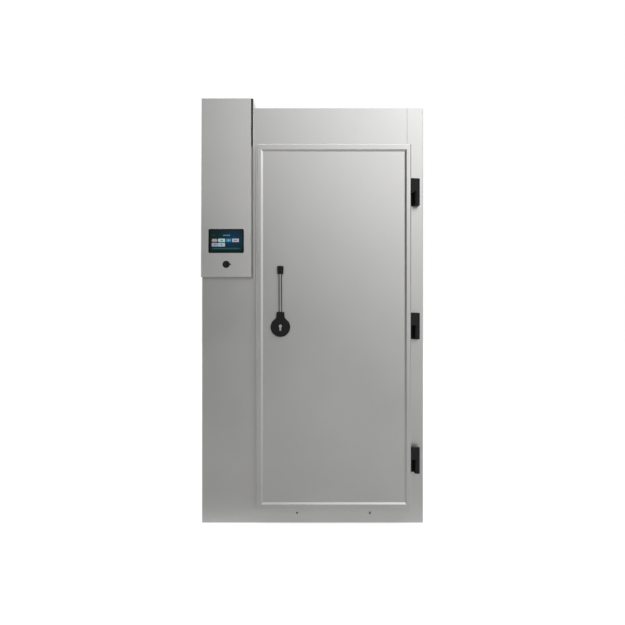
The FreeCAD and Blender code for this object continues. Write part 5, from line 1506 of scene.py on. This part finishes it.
def soft_glow(tree, strength, middle, flat, fade):
    """Patch of light round a heading (sideways, up): level over flat, then gone over fade."""
    level = strength
    for axis, centre, reach, edge in zip("XZ", middle, flat, fade):
        away = number(tree, "ABSOLUTE", number(tree, "SUBTRACT", heading[axis], centre))
        level = number(tree, "MULTIPLY", ranged(tree, away, reach, reach + edge, 1.0, 0.0), level)
    return level


path = add(tree, "LightPath").outputs
glows = {
    "left wall": soft_glow(tree, 1.9, (-1.0, 0.25), (0.0, 0.1), (0.42, 0.6)),
    "right bank": soft_glow(tree, 1.38, (0.45, 0.0), (0.1, 0.1), (0.42, 0.8)),
    "high lamp": soft_glow(tree, 2.6, (0.1, 0.3), (0.0, 0.0), (0.3, 0.3)),
    "floor": soft_glow(tree, 0.33, (0.2, -1.0), (0.8, 0.65), (0.4, 0.25)),
    "ceiling": soft_glow(tree, 0.33, (0.2, 1.0), (0.4, 0.4), (0.8, 0.2)),
}
overhead = soft_glow(tree, 2.0, (0.1, 1.0), (0.5, 0.05), (0.8, 0.35))
flag = soft_glow(tree, 0.6, (0.8, 0.4), (0.15, 0.15), (0.2, 0.2))
unflagged = number(tree, "SUBTRACT", 1.0, flag)
glows["right bank"] = number(tree, "MULTIPLY", glows["right bank"], unflagged)
dome = number(tree, "MULTIPLY", overhead, path["Is Glossy Ray"])
for level in glows.values():
    dome = number(tree, "ADD", dome, level)
behind = ranged(tree, heading["Y"], 0.2, 0.6, 0.0, 1.0)
mirrored = number(tree, "MAXIMUM", path["Is Glossy Ray"], path["Is Transmission Ray"])
white = number(tree, "MAXIMUM", path["Is Camera Ray"], number(tree, "MULTIPLY", mirrored, behind))
level = add(tree, "Mix", {0: white, 2: dome, 3: 1.0}, data_type="FLOAT").outputs[0]
tree.links.new(level, backdrop.inputs["Strength"])
backdrop.inputs["Color"].default_value = (1.0, 1.0, 1.0, 1.0)
print("glows in the room:", ", ".join(glows))

# %% [markdown]
# The dome alone would leave every shadow soft. One large square lamp from the upper right gives the
# steps and hinges a direction without hard edges. Its size matters more than its power here.

# %% Lamps
aim = Vector((0.1, -0.55, 1.3))


def soft_lamp(name, place, size, power):
    """Large square lamp that looks at the object."""
    lamp = bpy.data.lights.new(name, "AREA")
    lamp.size = size
    lamp.energy = power
    holder = bpy.data.objects.new(name, lamp)
    holder.location = place
    holder.rotation_euler = (aim - Vector(place)).to_track_quat("-Z", "Y").to_euler()
    bpy.context.scene.collection.objects.link(holder)
    return holder


soft_lamp("key_lamp", (3.2, -5.5, 4.6), 3.2, 60.0)
print("lamps aim at", [round(part, 2) for part in aim])

# %% [markdown]
# The camera stands straight in front at about chest height, level, so the cabinet's edges stay
# upright in the picture. Its distance and lens follow from the photograph's perspective.

# %% Camera
view = bpy.data.cameras.new("view")
view.sensor_width = 36.0
view.sensor_fit = "HORIZONTAL"
view.lens = 55.16
view.clip_end = 200.0
camera = bpy.data.objects.new("view", view)
camera.location = (0.0, -5.75, 1.141)
camera.rotation_euler = (pi / 2, 0.0, 0.0)
bpy.context.scene.collection.objects.link(camera)
bpy.context.scene.camera = camera
bpy.context.scene.view_settings.view_transform = "Standard"
print("camera distance to the front:", round(-0.55 - camera.location.y, 2), "m")

# %% End
bpy.context.view_layer.update()
